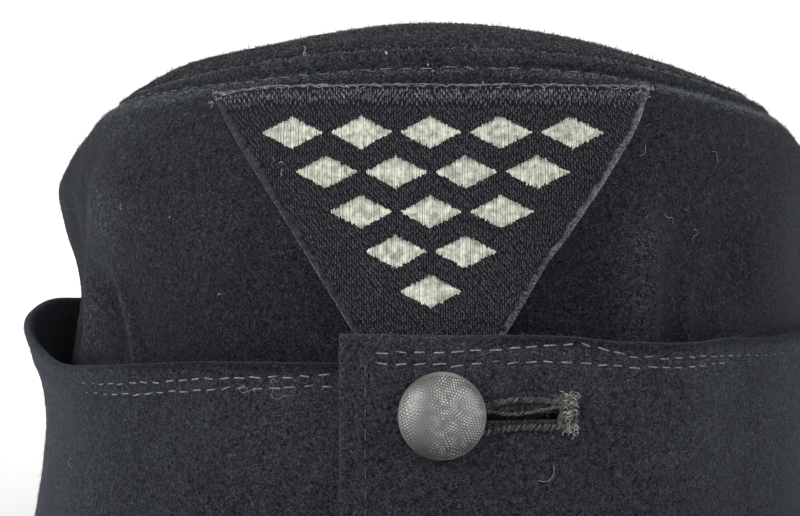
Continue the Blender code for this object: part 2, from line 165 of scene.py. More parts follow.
RIM_HALF_WIDTH = HEAD_HALF_WIDTH + CROWN_CLOTH
RIM_HALF_LENGTH = HEAD_HALF_LENGTH + CROWN_CLOTH
FRONT, SIDE, BACK = 0.0, math.pi / 2, math.pi

# The crown wall from its foot to the top seam: how far it has moved from the rim's oval, 0, to the top
# seam's oval, 1, on each of its sides
CROWN_SECTIONS = table(
    "rise left right front back",
    (0.00, 0.00, 0.00, 0.00, 0.00),
    (0.12, 0.11, 0.05, 0.06, 0.03),
    (0.25, 0.20, 0.07, 0.14, 0.07),
    (0.38, 0.30, 0.09, 0.23, 0.11),
    (0.50, 0.41, 0.10, 0.33, 0.14),
    (0.62, 0.31, 0.10, 0.43, 0.17),
    (0.72, 0.14, 0.10, 0.53, 0.21),
    (0.80, 0.05, 0.10, 0.62, 0.28),
    (0.87, 0.23, 0.10, 0.70, 0.42),
    (0.93, 0.45, 0.22, 0.78, 0.60),
    (0.97, 0.63, 0.45, 0.87, 0.78),
    (1.00, 1.00, 1.00, 1.00, 1.00),
)

# Soft upright folds: each runs from its low turn at the share low of the wall's height to its high turn
# at the share high. Turns and spread in degrees, depth as a share of the head's half width
CROWN_FOLDS = table(
    "low_turn high_turn spread depth low high",
    (-80, -62, 8, -0.036, 0.44, 0.94),
    (-68, -50, 4, 0.010, 0.46, 0.97),
    (-56, -58, 5, -0.036, 0.26, 0.74),
    (-98, -94, 8, -0.014, 0.40, 0.80),
    (19, 21, 6, -0.024, 0.42, 0.86),
    (28, 28, 4, 0.008, 0.40, 0.86),
    (42, 38, 7, -0.030, 0.40, 0.88),
    (70, 62, 8, -0.018, 0.44, 0.90),
    (112, 112, 10, -0.024, 0.46, 0.92),
    (150, 150, 11, -0.016, 0.46, 0.92),
    (-112, -108, 10, -0.026, 0.46, 0.92),
    (-146, -146, 11, -0.018, 0.46, 0.92),
)

# Narrow crests of the cloth, which only the fine wall has: each follows its turns, in degrees, over its
# heights, has this width to its left and to its right, and has a valley this many degrees to its right
TALL_CREST_HEIGHTS = (0.046, 0.054, 0.0604, 0.0667, 0.0729, 0.0787, 0.092)
TALL_CREST_TURNS = (-62, -62.7, -62.4, -59.2, -53.7, -51.5, -49)
LOW_CREST_HEIGHTS = (0.042, 0.0506, 0.0559, 0.0613, 0.0651, 0.069)
LOW_CREST_TURNS = (-42, -45.1, -47.7, -50.1, -51.7, -53.5)
CRESTS = table(
    "heights turns left right lift valley away width",
    (TALL_CREST_HEIGHTS, TALL_CREST_TURNS, 2.6, 7.5, 0.0018, 0.0016, -6.5, 3.6),
    (LOW_CREST_HEIGHTS, LOW_CREST_TURNS, 0.9, 1.7, 0.0016, 0.0030, -5.1, 3.7),
    ((0.048, 0.058, 0.070, 0.078), (-79, -79, -79, -79), 5.4, 5.4, 0.0005, 0.0, 9.0, 9.0),
    ((0.046, 0.053, 0.070, 0.088), (26.0, 26.0, 25.9, 26), 5.0, 1.8, 0.0014, 0.0012, 5.6, 3.4),
    ((0.046, 0.0571, 0.068), (33, 33, 33), 1.2, 1.2, 0.0006, 0.0006, 3.4, 2.2),
)
CREST_FADE = 0.004
CREST_FADE_SHARE = 0.6

# Edge of the flap: turn in degrees from the front, edges as shares of the edge height for the half
# under and the half over, stands as shares of the most that the flap stands off, left (-X) and right
FLAP_EDGES = table(
    "turn under_edge over_edge left_stand right_stand",
    (0, 0.923, 1.009, 0.02, 0.02),
    (14, 0.916, 1.006, 0.04, 0.02),
    (29, 0.902, 0.955, 0.12, 0.05),
    (47, 0.857, 0.930, 0.40, 0.08),
    (57, 0.838, 0.922, 0.58, 0.08),
    (67, 0.880, 0.918, 0.80, 0.07),
    (76, 0.925, 0.922, 0.95, 0.06),
    (85, 0.950, 0.928, 1.00, 0.06),
    (95, 0.968, 0.936, 0.96, 0.08),
    (107, 0.945, 0.946, 0.80, 0.14),
    (135, 0.950, 0.958, 0.48, 0.26),
    (180, 0.962, 0.962, 0.30, 0.30),
)
# What the fine upper flap's edge adds to these heights
EDGE_SHIFTS = table(
    "turn shift",
    (0, 0.0),
    (8, -0.0002),
    (14, -0.0004),
    (20, -0.0005),
    (24.5, 0.0001),
    (31, 0.0007),
    (38, 0.0013),
    (46, 0.0009),
    (55, 0.0012),
    (75, 0.0006),
    (100, 0.0),
    (180, 0.0),
)
FLAP_SECTIONS = table(
    "rise stand",
    (0.00, 0.00),
    (0.30, 0.01),
    (0.55, 0.08),
    (0.75, 0.34),
    (0.90, 0.74),
    (1.00, 1.00),
)

# Stitch rows of the flap: turn in degrees, and how far the rows lie below the flap's edge
UNDER_STITCHES = table(
    "turn upper lower",
    (-180, 0.0036, 0.0056),
    (-90, 0.0031, 0.0042),
    (-60, 0.0031, 0.0045),
    (-40, 0.0036, 0.0057),
    (-28, 0.0030, 0.0050),
    (-20, 0.0025, 0.0045),
    (-10, 0.0021, 0.0040),
)
OVER_STITCHES = table(
    "turn upper lower",
    (-12, 0.0030, 0.0049),
    (0, 0.0030, 0.0050),
    (14, 0.0014, 0.0043),
    (20, 0.0021, 0.0044),
    (24.5, 0.0027, 0.0043),
    (31, 0.0027, 0.0042),
    (38, 0.0033, 0.0045),
    (46, 0.0033, 0.0046),
    (55, 0.0035, 0.0048),
    (180, 0.0038, 0.0056),
)
# Topstitch of the crown: how far it lies below the ridge of the top seam
SEAM_STITCHES = table(
    "turn below",
    (-180, 0.0034),
    (-90, 0.0024),
    (-60, 0.0016),
    (-45, 0.0020),
    (-30, 0.0032),
    (0, 0.0034),
    (25, 0.0029),
    (45, 0.0034),
    (75, 0.0042),
    (180, 0.0034),
)

# Bumps of the fine wall under the top seam, at the shoulders: height, how far below the seam, and width
LEFT_SHOULDER = table("height below width", (0.0017, 0.0026, 0.0014), (-0.0008, 0.0065, 0.0035))
RIGHT_SHOULDER = table("height below width", (0.0047, 0.0023, 0.0021), (-0.0018, 0.0060, 0.0040))

# Forms that only the fine surfaces have
WAVE_SIZE = 0.017
RIPPLE_SIZE = 0.007
WAVE_FADE = 0.010
RIDGE_ROUND = 0.0009
RIDGE_PUFF = 0.0005
RIDGE_WALL = 0.0013
TOP_INSET = 0.0009
LEFT_SAG = 0.0010
RIGHT_RAISE = 0.0012
RIGHT_ROUND = 0.0008
RIGHT_DROP = 0.0021
RIGHT_SHELF = 0.00185
DOME_LEFT_PUFF = 0.0016
DOME_RIGHT_PUFF = 0.0003
DOME_FRONT_TRIM = 0.0004
GROOVE_DEPTH = 0.00030
GROOVE_WIDTH = 0.0008
SWELL_BELOW = 0.0022
SWELL_WIDTH = 0.0018
TOP_ROLL = 0.012
TOP_ROLL_DROP = 0.0011
TOP_HUB = 0.015
FLAP_EDGE_ROUND = FLAP_CLOTH / 2
CORNER_ROUND = 0.0018
CORNER_TURN = 0.6
PEAK_ROLL = 0.020

# Stitches: the upright row beside the lap, how far the peak's rows are from its edge, and the share of
# a stitch's pitch that lies on the cloth
SIDE_ROW_X = -0.0112
SIDE_ROW_TOP = 0.0046
SIDE_ROW_END = 0.036
SIDE_ROW_TURN = 0.5
SIDE_ROW_PITCH = 0.0035
PEAK_ROWS = (0.0035, 0.0085)
STITCH_COVER = 0.72
LOOSE_STITCH_COVER = 0.60

# Painted shade that stands for the flap's shadow on the crown wall: how far below the flap's edge it is at
# its strongest, and how far above it, on the left and on the right, it has faded out
PAINTED_SHADE_BELOW = 0.006
PAINTED_SHADE_LEFT = 0.020
PAINTED_SHADE_RIGHT = 0.036

# Columns and rows of points of the fine surfaces
WALL_GRID = (480, 104)
TOP_GRID = (320, 44)
FLAP_COLUMNS = 330
PEAK_GRID = (180, 70)
BADGE_GRID = (180, 100)
BUTTON_GRID = (440, 94)

# How far down the flap its rows are fine, and where the coarse rows of insides and undersides are, as
# shares of the height or reach
FINE_DEPTH = 0.0205
FINE_STEP = 0.00055
COARSE_START = 0.0210
WALL_INSIDE = (0.985, 0.97, 0.94, 0.9, 0.82, 0.7, 0.58, 0.45, 0.3, 0.15, 0.0)
TOP_UNDERSIDE = (0.93, 0.82, 0.64, 0.42, 0.2, TOP_HUB)
FLAP_INSIDE = (0.0, 0.03, 0.08, 0.15, 0.24, 0.35, 0.48, 0.62, 0.78, 0.9)

# How far the fine badge's sides bulge: share of its height, to the left and to the right
BADGE_BULGES = table(
    "up left right",
    (0.0, 0.0, 0.0),
    (0.32, 0.0003, 0.0),
    (0.38, 0.00035, 0.0001),
    (0.46, 0.0004, 0.0010),
    (0.54, 0.0005, 0.0016),
    (0.63, 0.0007, 0.0021),
    (0.80, 0.0008, 0.0021),
    (0.88, 0.0006, 0.0018),
    (0.96, 0.0002, 0.0008),
    (1.0, 0.0, 0.0003),
)

# Edge and folded hems of the badge, and the light threads along its top
BADGE_ROUND = 0.0006
BADGE_EDGE_OUT = 0.0002
HEM_WIDTH = 0.0016
HEM_THICKNESS = 0.00022
SELVEDGE_ARC = 0.0021
SELVEDGE_RADIUS = 0.00011
HAND_STITCH_LENGTH = 0.0008
HAND_STITCH_RADIUS = 0.00030
LOOSE_END_RADIUS = 0.00005

# How near a lozenge's middle its strands hide the weave, as a share of the lozenge's size
LOZENGE_COVER = 0.44

# Loose hairs on the badge, across from its middle line and down from its top
BADGE_HAIRS = ((-0.0265, 0.0135), (-0.0250, 0.0140), (-0.0255, 0.0150))

# Pebbles of the button: how far their rows wander, over what length, and the size of their patches
PEBBLE_WANDER = 0.0003
PEBBLE_WANDER_SIZE = 0.0016
PEBBLE_PATCH = 0.0009

# Back of the button, from its rim to its shank: share of its radius, and height over the cloth
BUTTON_BACK = (
    (1.012, 0.0009),
    (1.015, 0.0007),
    (1.005, 0.0005),
    (0.985, SEAM_GAP + 0.0001),
    (0.93, SEAM_GAP),
    (0.6, SEAM_GAP),
    (SHANK_DIAMETER / BUTTON_DIAMETER, SEAM_GAP),
    (SHANK_DIAMETER / BUTTON_DIAMETER, -FLAP_CLOTH),
    (0.02, -FLAP_CLOTH),
)

# Whipped edges of the buttonhole: each rope's radius and twists, the yarns of each of its strands, and
# spots on its line, across and up from the button's axis
HOLE_EDGES = table(
    "radius turns yarns spots",
    (
        0.00050,
        6.0,
        3,
        ((0.0030, 0.0012), (0.0070, 0.0015), (0.0096, 0.0022), (0.0144, 0.0026), (0.0205, 0.0018)),
    ),
    (
        0.00030,
        5.0,
        2,
        ((0.0030, 0.0006), (0.0070, 0.0008), (0.0101, 0.0003), (0.0135, 0.0002), (0.0205, 0.0013)),
    ),
    (
        0.00054,
        6.5,
        3,
        ((0.0030, -0.0030), (0.0074, -0.0030), (0.0096, -0.0025), (0.0135, -0.0022), (0.0205, -0.0024)),
    ),
)

# Bar tack at the end of the hole, from the button's axis too
TACK_LEFT = 0.0200
TACK_RIGHT = 0.0228
TACK_LOW = -0.0036
TACK_HIGH = 0.0034
TACK_STRANDS = 44
TACK_LOOPS = 56

# Hairs and specks on the crown: turn in degrees, height, length, how much each curls, and radius
LINT = table(
    "turn height length curl radius",
    (-7.6, 0.1052, 0.0003, 0.2, 0.00020),
    (-1.9, 0.1028, 0.0003, 0.2, 0.00015),
    (-1.4, 0.1018, 0.0005, 0.4, 0.00010),
    (-20.1, 0.1048, 0.0030, 3.2, 0.00007),
    (29.8, 0.0745, 0.0050, 1.4, 0.00004),
    (34.5, 0.0715, 0.0045, 1.6, 0.00004),
    (33.0, 0.0780, 0.0030, 1.2, 0.00004),
    (24.0, 0.0870, 0.0030, 1.0, 0.00004),
    (38.0, 0.0860, 0.0035, 0.8, 0.00004),
    (-36.0, 0.0760, 0.0012, 1.4, 0.00007),
    (-45.0, 0.0780, 0.0010, 1.4, 0.00007),
    (-29.0, 0.0620, 0.0012, 1.0, 0.00007),
    (140.0, 0.0700, 0.0040, 1.4, 0.00004),
    (-120.0, 0.0800, 0.0035, 1.4, 0.00004),
)

# The same on the flap, with how far each lies below its edge instead of the height. Left of the lap's
# turn a hair lies on the lower half
FLAP_LINT = table(
    "turn height length curl radius",
    (-20.5, 0.0056, 0.0050, 2.4, 0.00003),
    (-16.5, 0.0054, 0.0050, 1.2, 0.00003),
    (-17.5, 0.0032, 0.0035, 1.6, 0.00003),
    (12.0, 0.0216, 0.0040, 1.6, 0.00004),
    (-55.0, 0.0180, 0.0030, 1.2, 0.00004),
    (60.0, 0.0150, 0.0035, 1.4, 0.00004),
    (165.0, 0.0200, 0.0040, 1.4, 0.00004),
)
LINT_OUT = 0.00015
LINT_LIFT = 0.0003
LAP_TURN = -12

# Stage: the floor, how far the walls fade into the ceiling, as the sine of an angle, and the lights
FLOOR_RADIUS = 6.0
WALL_FADE = 0.25
LIGHT_COLOUR = (1.0, 0.99, 0.98)

# The way out from the front of the cap
FORWARD = (0.0, -1.0, 0.0)


def setting(group):
    """One of the cap's groups of settings on the scene."""
    return getattr(bpy.context.scene, "field_cap_" + group)


def mix(a, b, share):
    return a + (b - a) * share


def ease(low, high, value):
    """0 below low, 1 above high and a smooth step between them."""
    share = np.clip((value - low) / (high - low), 0, 1)
    return share * share * (3 - 2 * share)


def hump(value, width):
    """A smooth bump of height 1 round 0."""
    return np.exp(-((value / width) ** 2))


def stack(*coordinates):
    """Points from separate coordinates of any matching shapes."""
    return np.stack(np.broadcast_arrays(*coordinates), axis=-1).astype(float)


def column(rows, name, at):
    """A table's column on a smooth curve through its rows, where the first column has this value."""
    place = np.array([row[0] for row in rows], float)
    value = np.array([getattr(row, name) for row in rows], float)
    slope = np.gradient(value, place, edge_order=1)
    slope[1:-1] = (value[2:] - value[:-2]) / (place[2:] - place[:-2])
    i = np.clip(np.searchsorted(place, at) - 1, 0, len(place) - 2)
    step = place[i + 1] - place[i]
    u = np.clip((at - place[i]) / step, 0, 1)
    return (
        value[i] * (1 + 2 * u) * (1 - u) ** 2
        + value[i + 1] * u * u * (3 - 2 * u)
        + step * (slope[i] * u * (1 - u) ** 2 - slope[i + 1] * u * u * (1 - u))
    )


def noise(points, size, seed):
    """Smooth noise from -1 to 1 with lumps of this size. The same points and seed give the same noise."""
    cell = np.asarray(points) / size
    base = np.floor(cell).astype(np.int64)
    part = cell - base
    part = part * part * (3 - 2 * part)
    total = np.zeros(cell.shape[:-1])
    for corner in itertools.product((0, 1), repeat=3):
        key = base + corner
        mixed = (key[..., 0] * 73856093) ^ (key[..., 1] * 19349663) ^ (key[..., 2] * 83492791) ^ (seed * 7919)
        mixed = ((mixed ^ (mixed >> 13)) * 1274126177) & 0xFFFFFFFF
        value = ((mixed ^ (mixed >> 16)) & 0xFFFF) / 32767.5 - 1
        total += value * np.prod(np.where(corner, part, 1 - part), axis=-1)
    return total


def oval(half_width, half_length, turn, fullness=OVAL_FULLNESS):
    """A point of an oval seen from above."""
    sine, cosine = np.sin(turn), np.cos(turn)
    across = half_width * np.abs(sine) ** (2 / fullness)
    along = half_length * np.abs(cosine) ** (2 / fullness)
    return np.copysign(across, sine), -np.copysign(along, cosine)


def turn_at(half_width, x, fullness=OVAL_FULLNESS):
    """The turn, between the sides and the front, where an oval passes this x."""
    share = np.minimum(1, np.abs(x) / half_width)
    return np.copysign(np.arcsin(share ** (fullness / 2)), x)


def rim_height(turn):
    forward = (1 + np.cos(turn)) / 2
    return FRONT_LIFT * (np.maximum(0, forward - REST_SHARE) / (1 - REST_SHARE)) ** LIFT_CURVE


def toe_share(turn):
    """How much of the fold's toe lies under the crown's foot."""
    start = FOLD_START + FOLD_EASE + TOE_DELAY
    return ease(start, start + FOLD_EASE, np.abs(turn))


def foot_height(turn):
    sewn = ease(FOLD_START, FOLD_START + FOLD_EASE, np.abs(turn))
    return rim_height(turn) + sewn * (FLAP_CLOTH + FOOT_GAP)


def seam_height(turn):
    """Height of the top seam's ridge."""
    s, c = np.sin(turn), np.cos(turn)
    sides = mix(SEAM_LEFT_HEIGHT, SEAM_RIGHT_HEIGHT, (1 + s) / 2)
    ends = mix(SEAM_BACK_HEIGHT, SEAM_FRONT_HEIGHT, (1 + c) / 2)
    return mix(sides, ends, c * c)


def wall_top_height(turn):
    fall = TOP_CROWNING * (TOP_CENTRE_HEIGHT - seam_height(turn)) / TOP_HALF_WIDTH
    return seam_height(turn) - CROWN_CLOTH * np.hypot(1, fall) - SEAM_GAP


def rise_at(turn, height):
    """The crown wall's rise at this height, 0 at its foot and below, 1 at its top and above."""
    foot = foot_height(turn)
    return np.clip((height - foot) / (wall_top_height(turn) - foot), 0, 1)


def crown_half_width(turn, rise):
    side = np.where(
        np.sin(turn) < 0, column(CROWN_SECTIONS, "left", rise), column(CROWN_SECTIONS, "right", rise)
    )
    return mix(RIM_HALF_WIDTH, TOP_HALF_WIDTH, side)


def crown_outline(turn, rise, grow=0.0):
    """The crown's outline at this rise, seen from above, grown outwards, round the head's middle."""
    end = np.where(
        np.cos(turn) > 0, column(CROWN_SECTIONS, "front", rise), column(CROWN_SECTIONS, "back", rise)
    )
    half_length = mix(RIM_HALF_LENGTH, TOP_HALF_LENGTH, end)
    x, y = oval(crown_half_width(turn, rise) + grow, half_length + grow, turn)
    return x + TOP_SHIFT_X * rise, y + TOP_SHIFT_Y * rise


def fold_depth(turn, rise):
    """Outward shift of the wall from its soft upright folds."""
    total = 0.0
    for fold in CROWN_FOLDS:
        share = (rise - fold.low) / (fold.high - fold.low)
        line = np.radians(mix(fold.low_turn, fold.high_turn, share))
        off = (turn - line + math.pi) % (2 * math.pi) - math.pi
        fade = np.maximum(0, 4 * share * (1 - share))
        total = total + fold.depth * HEAD_HALF_WIDTH * hump(off, math.radians(fold.spread)) * fade * fade
    return total


def placed(x, y, height):
    """A point given from the head's middle, in the frame."""
    return stack(x + HEAD_X, y + HEAD_Y, height)


def waves(points, seed):
    """Unevenness of worn cloth, a share of its full height."""
    return 0.6 * noise(points, WAVE_SIZE, seed) + 0.4 * noise(points, RIPPLE_SIZE, seed + 1)


def ridge_height(turn):
    """Height of the fine ridge, which sags on its left and is puffed up on its right."""
    side = np.sin(turn)
    return seam_height(turn) + np.where(side < 0, -LEFT_SAG, RIGHT_RAISE) * side**4


def crests(turn, height):
    """How far the narrow crests stand out of the fine wall, and how deep their valleys are."""
    raised, sunk = 0.0, 0.0
    for crest in CRESTS:
        off = np.degrees(turn) - np.interp(height, crest.heights, crest.turns)
        low, high = crest.heights[0], crest.heights[-1]
        fall = mix(low, high, CREST_FADE_SHARE)
        fade = ease(low, low + CREST_FADE, height) * (1 - ease(fall, high, height))
        raised = raised + fade * crest.lift * hump(off, np.where(off < 0, crest.left, crest.right))
        sunk = sunk + fade * crest.valley * hump(off - crest.away, crest.width)
    return raised, sunk


def bumps(rows, below):
    """Sum of a table's bumps, this far below the top seam."""
    return sum(row.height * hump(below - row.below, row.width) for row in rows)


def crown_relief(turn, height):
    """What the fine crown wall adds to the plain one: waves, crests, the swollen seam band and its groove."""
    x, y = crown_outline(turn, rise_at(turn, height))
    points = stack(x, y, height)
    below = seam_height(turn) - height
    groove_at = column(SEAM_STITCHES, "below", np.degrees(turn))
    wave = setting("cloth").wave_height * waves(points, 3) * ease(0.0, WAVE_FADE, below)
    side = np.sin(turn) ** 4
    band = RIDGE_PUFF * (1 - side) * hump(below - groove_at * 0.5, groove_at * 0.5)
    shoulder = side * np.where(np.sin(turn) < 0, bumps(LEFT_SHOULDER, below), bumps(RIGHT_SHOULDER, below))
    swell = 0.7 * RIDGE_PUFF * (1 - 0.8 * side) * hump(below - groove_at - SWELL_BELOW, SWELL_WIDTH)
    groove = 1.6 * GROOVE_DEPTH * (1 - 0.5 * side) * hump(below - groove_at, GROOVE_WIDTH)
    raised, sunk = crests(turn, height)
    return wave + raised - sunk + band + swell + shoulder - groove


def crown_at(turn, height, grow=0.0, relief=True):
    """A point this far outside the crown wall's outer face."""
    rise = rise_at(turn, height)
    grow = grow + fold_depth(turn, rise)
    if relief:
        grow = grow + crown_relief(turn, height)
    x, y = crown_outline(turn, rise, grow)
    return placed(x, y, height)


def turn_for(x, height, grow):
    """The turn at the front where the crown, grown outwards, passes this x from the head's middle."""
    turn = turn_at(RIM_HALF_WIDTH, x)
    for _ in range(6):
        rise = rise_at(turn, height)
        turn = turn_at(crown_half_width(turn, rise) + grow, x - TOP_SHIFT_X * rise)
    return turn


def badge_room(turn):
    half = turn_at(RIM_HALF_WIDTH, BADGE_ROOM_HALF_WIDTH)
    return (BADGE_CLOTH + SEAM_GAP) * (1 - ease(half, BADGE_ROOM_RUNOUT * half, np.abs(turn)))


def lap_step(turn):
    end = turn_at(RIM_HALF_WIDTH, UNDER_END_X)
    return (FLAP_CLOTH + SEAM_GAP) * (1 - ease(LAP_RUNOUT_START * end, LAP_RUNOUT_END * end, turn))


def corner_drop(turn):
    """How much the rounded corner of the upper end lowers the flap's edge."""
    x, _ = crown_outline(turn, 0.5)
    inside = np.clip(CORNER_ROUND - (x - FRONT_EDGE_X), 0, CORNER_ROUND)
    return np.where(np.abs(turn) < CORNER_TURN, CORNER_ROUND - np.sqrt(CORNER_ROUND**2 - inside**2), 0)


def flap_height(turn, end):
    height = FLAP_EDGE_HEIGHT * column(FLAP_EDGES, end + "_edge", np.abs(np.degrees(turn)))
    if end == "over":
        height = height - corner_drop(turn) + column(EDGE_SHIFTS, "shift", np.degrees(turn))
    return height


def flap_stand(turn, rise, end):
    """How far the flap's inner face is from the crown wall."""
    degrees = np.abs(np.degrees(turn))
    left = column(FLAP_EDGES, "left_stand", degrees)
    right = column(FLAP_EDGES, "right_stand", degrees)
    stand = FLAP_STAND * np.where(turn < 0, left, right) * column(FLAP_SECTIONS, "stand", rise)
    stand = stand + FLAP_EASE + badge_room(turn) * ease(BADGE_ROOM_LOW_RISE, BADGE_ROOM_HIGH_RISE, rise)
    return stand + (lap_step(turn) if end == "over" else 0.0)


def row_depths(turn, end):
    """How far the two stitch rows lie below the flap's edge."""
    rows = UNDER_STITCHES if end == "under" else OVER_STITCHES
    degrees = np.degrees(turn)
    return column(rows, "upper", degrees), column(rows, "lower", degrees)


def flap_relief(turn, below, end):
    """What the fine flap adds to the plain one: waves, and the grooves of its stitch rows."""
    x, y = crown_outline(turn, 0.5)
    points = stack(x, y, below)
    upper, lower = row_depths(turn, end)
    fade = ease(0.0, 0.004, below)
    wave = setting("cloth").wave_height * waves(points, 11 if end == "over" else 17) * fade
    width = 0.7 * GROOVE_WIDTH
    groove = hump(below - upper, width) + hump(below - lower, width)
    swell = 0.5 * hump(below - (upper + lower) / 2, 0.5 * GROOVE_WIDTH)
    if end == "over":
        beside = (below > upper - MM) & (turn < SIDE_ROW_TURN)
        upright = 1.3 * beside * hump(x - SIDE_ROW_X, width) * ease(0.0, 2 * MM, below)
        groove = groove * ease(SIDE_ROW_X - MM, SIDE_ROW_X + MM, x) + upright
    return wave + GROOVE_DEPTH * (swell - groove)


def flap_at(turn, below, end, inward=0.0, relief=True):
    """A point of the flap this far below its edge, and this far inside its outer face."""
    edge = flap_height(turn, end)
    height = edge - below
    rim = rim_height(turn)
    rise = np.clip((height - rim) / (edge - rim), 0, 1)
    grow = flap_stand(turn, rise, end) + FLAP_CLOTH - inward
    if relief:
        grow = grow + flap_relief(turn, below, end)
    x, y = crown_outline(turn, rise_at(turn, height), grow)
    return placed(x, y, height)


def front_turn(turn, x, below):
    """The turn at which the upper flap passes this x, from a turn near it."""
    edge = flap_height(turn, "over")
    height = edge - below
    rise = np.clip((height - rim_height(turn)) / (edge - rim_height(turn)), 0, 1)
    grow = flap_stand(turn, rise, "over") + FLAP_CLOTH
    crown_rise = rise_at(turn, height)
    return turn_at(crown_half_width(turn, crown_rise) + grow, x - TOP_SHIFT_X * crown_rise)


def front_flap_at(x, below, out=0.0):
    """A point on the front of the upper flap at this x, this far out from its face."""
    turn = turn_at(RIM_HALF_WIDTH, x)
    for _ in range(6):
        turn = front_turn(turn, x, below)
    return flap_at(turn, below, "over", inward=-out)


def badge_ends():
    """Heights of the badge's lower and upper edges."""
    plain_edge = FLAP_EDGE_HEIGHT * FLAP_EDGES[0].over_edge
    return plain_edge - BADGE_TUCK, float(wall_top_height(FRONT)) - BADGE_BELOW_SEAM


def badge_half_width(height):
    low, high = badge_ends()
    return mix(BADGE_BOTTOM_WIDTH, BADGE_TOP_WIDTH, (height - low) / (high - low)) / 2


def badge_at(x, height, out=0.0):
    """A point over the badge at this x from its middle line, this far out from its inner face.

    The fine badge's sides bulge, and its upper left corner sags a little.
    """
    low, high = badge_ends()
    up = (height - low) / (high - low)
    share = np.clip(np.abs(x) / badge_half_width(height), 0, 1.05) ** 2
    bulge = np.where(x < 0, -column(BADGE_BULGES, "left", up), column(BADGE_BULGES, "right", up))
    sag = BADGE_SAG * ease(BADGE_SAG_START, BADGE_TOP_WIDTH / 2, -x)
    height = height + (BADGE_RAISE - sag) * ease(0, 1, up) ** 2
    x = x + bulge * share
    turn = turn_for(x, height, SEAM_GAP)
    return crown_at(turn, height, SEAM_GAP + out)


def across_and_up(surface, a, b, step=0.0004):
    """Unit vectors of a surface of two lengths: along the first, along the second, and outwards."""
    along = surface(a + step, b) - surface(a - step, b)
    up = surface(a, b + step) - surface(a, b - step)
    out = np.cross(along, up)
    return unit(along), unit(up), unit(out)


def unit(vectors):
    return vectors / np.maximum(np.linalg.norm(vectors, axis=-1, keepdims=True), 1e-12)


def middle_of(node):
    low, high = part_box(node)
    return (low + high) / 2


HEAD_X = middle_of("crown_top").x - TOP_SHIFT_X
HEAD_Y = middle_of("crown_top").y - TOP_SHIFT_Y


def new_piece(name, points, faces, look, slot):
    """A smooth mesh object on the cap's body, from points and arrays of faces of like corner counts."""
    points = np.asarray(points, float).reshape(-1, 3)
    faces = [np.asarray(group, np.int64) for group in faces if len(group)]
    if signed_volume(points, faces) < 0:
        faces = [group[:, ::-1] for group in faces]
    mesh = bpy.data.meshes.new(name)
    mesh.vertices.add(len(points))
    mesh.vertices.foreach_set("co", points.astype(np.float32).ravel())
    corners = np.concatenate([group.ravel() for group in faces])
    sizes = np.concatenate([np.full(len(group), group.shape[1]) for group in faces])
    mesh.loops.add(len(corners))
    mesh.loops.foreach_set("vertex_index", corners.astype(np.int32))
    mesh.polygons.add(len(sizes))
    mesh.polygons.foreach_set("loop_start", np.concatenate([[0], np.cumsum(sizes)[:-1]]).astype(np.int32))
    mesh.update(calc_edges=True)
    mesh.shade_smooth()
    piece = bpy.data.objects.new(name, mesh)
    bpy.context.scene.collection.objects.link(piece)
    mesh.materials.append(look)
    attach(piece, "root")
    return piece


def shade(piece, name, values):
    """Gives each point of a piece a value that its material reads."""
    values = np.asarray(values, np.float32)
    piece.data.attributes.new(name, "FLOAT", "POINT").data.foreach_set("value", values)


def signed_volume(points, faces):
    total = 0.0
    for group in faces:
        first = points[group[:, 0]]
        for k in range(1, group.shape[1] - 1):
            cross = np.cross(points[group[:, k]], points[group[:, k + 1]])
            total += np.einsum("ij,ij->i", first, cross).sum()
    return total


def strip_faces(columns, rows, ring, closed):
    """Quads between neighbours on a grid of columns by rows of points."""
    column_steps = columns if ring else columns - 1
    row_steps = rows if closed else rows - 1
    c, r = np.meshgrid(np.arange(column_steps), np.arange(row_steps), indexing="ij")
    right, up = (c + 1) % columns, (r + 1) % rows
    quads = np.stack([c * rows + r, right * rows + r, right * rows + up, c * rows + up], axis=-1)
    return quads.reshape(-1, 4)


def lofted(grid, ring):
    """Faces of closed sections, one for each column of the grid, joined in a ring or capped."""
    columns, rows = grid.shape[:2]
    faces = [strip_faces(columns, rows, ring, True)]
    if not ring:
        cap = np.arange(rows)
        faces.append(np.stack([cap[::-1], (columns - 1) * rows + cap]))
    return grid.reshape(-1, 3), faces


def tubes(paths, outward, radius, sides=6, tips=None):
    """Closed tubes with pointed ends along paths of like point counts, joined into one set.

    outward is a rough side direction for each path, radius a number or one for each point, and tips the
    two points of each path that it ends in, a little way beyond it where none are given.
    """
    paths = np.asarray(paths, float)
    count, length = paths.shape[:2]
    radius = np.broadcast_to(radius, (count, length))[..., None, None]
    ahead = unit(np.gradient(paths, axis=1))
    side = unit(np.cross(ahead, np.broadcast_to(np.reshape(outward, (-1, 1, 3)), paths.shape)))
    up = np.cross(side, ahead)
    angle = np.linspace(0, 2 * math.pi, sides, endpoint=False)[:, None]
    rings = paths[:, :, None] + radius * (np.cos(angle) * side[:, :, None] + np.sin(angle) * up[:, :, None])
    if tips is None:
        tips = paths[:, [0, -1]] + 0.8 * radius[:, [0, -1], 0] * ahead[:, [0, -1]] * np.array([[-1], [1]])
    points = np.concatenate([rings.reshape(count, -1, 3), tips], axis=1)
    size = points.shape[1]
    start = (np.arange(count) * size)[:, None, None]
    quads = strip_faces(length, sides, False, True)[None] + start
    k = np.arange(sides)
    low = np.stack([k, (k + 1) % sides, np.full(sides, length * sides)], axis=-1)
    last = (length - 1) * sides
    high = np.stack([last + (k + 1) % sides, last + k, np.full(sides, length * sides + 1)], axis=-1)
    ends = np.concatenate([low[:, ::-1], high[:, ::-1]])[None] + start
    return points.reshape(-1, 3), [quads.reshape(-1, 4), ends.reshape(-1, 3)]


def joined(*parts):
    """Several sets of points and faces as one."""
    points, groups, start = [], {}, 0
    for part_points, part_faces in parts:
        points.append(part_points)
        for group in part_faces:
            groups.setdefault(group.shape[1], []).append(group + start)
        start += len(part_points)
    return np.concatenate(points), [np.concatenate(group) for group in groups.values()]


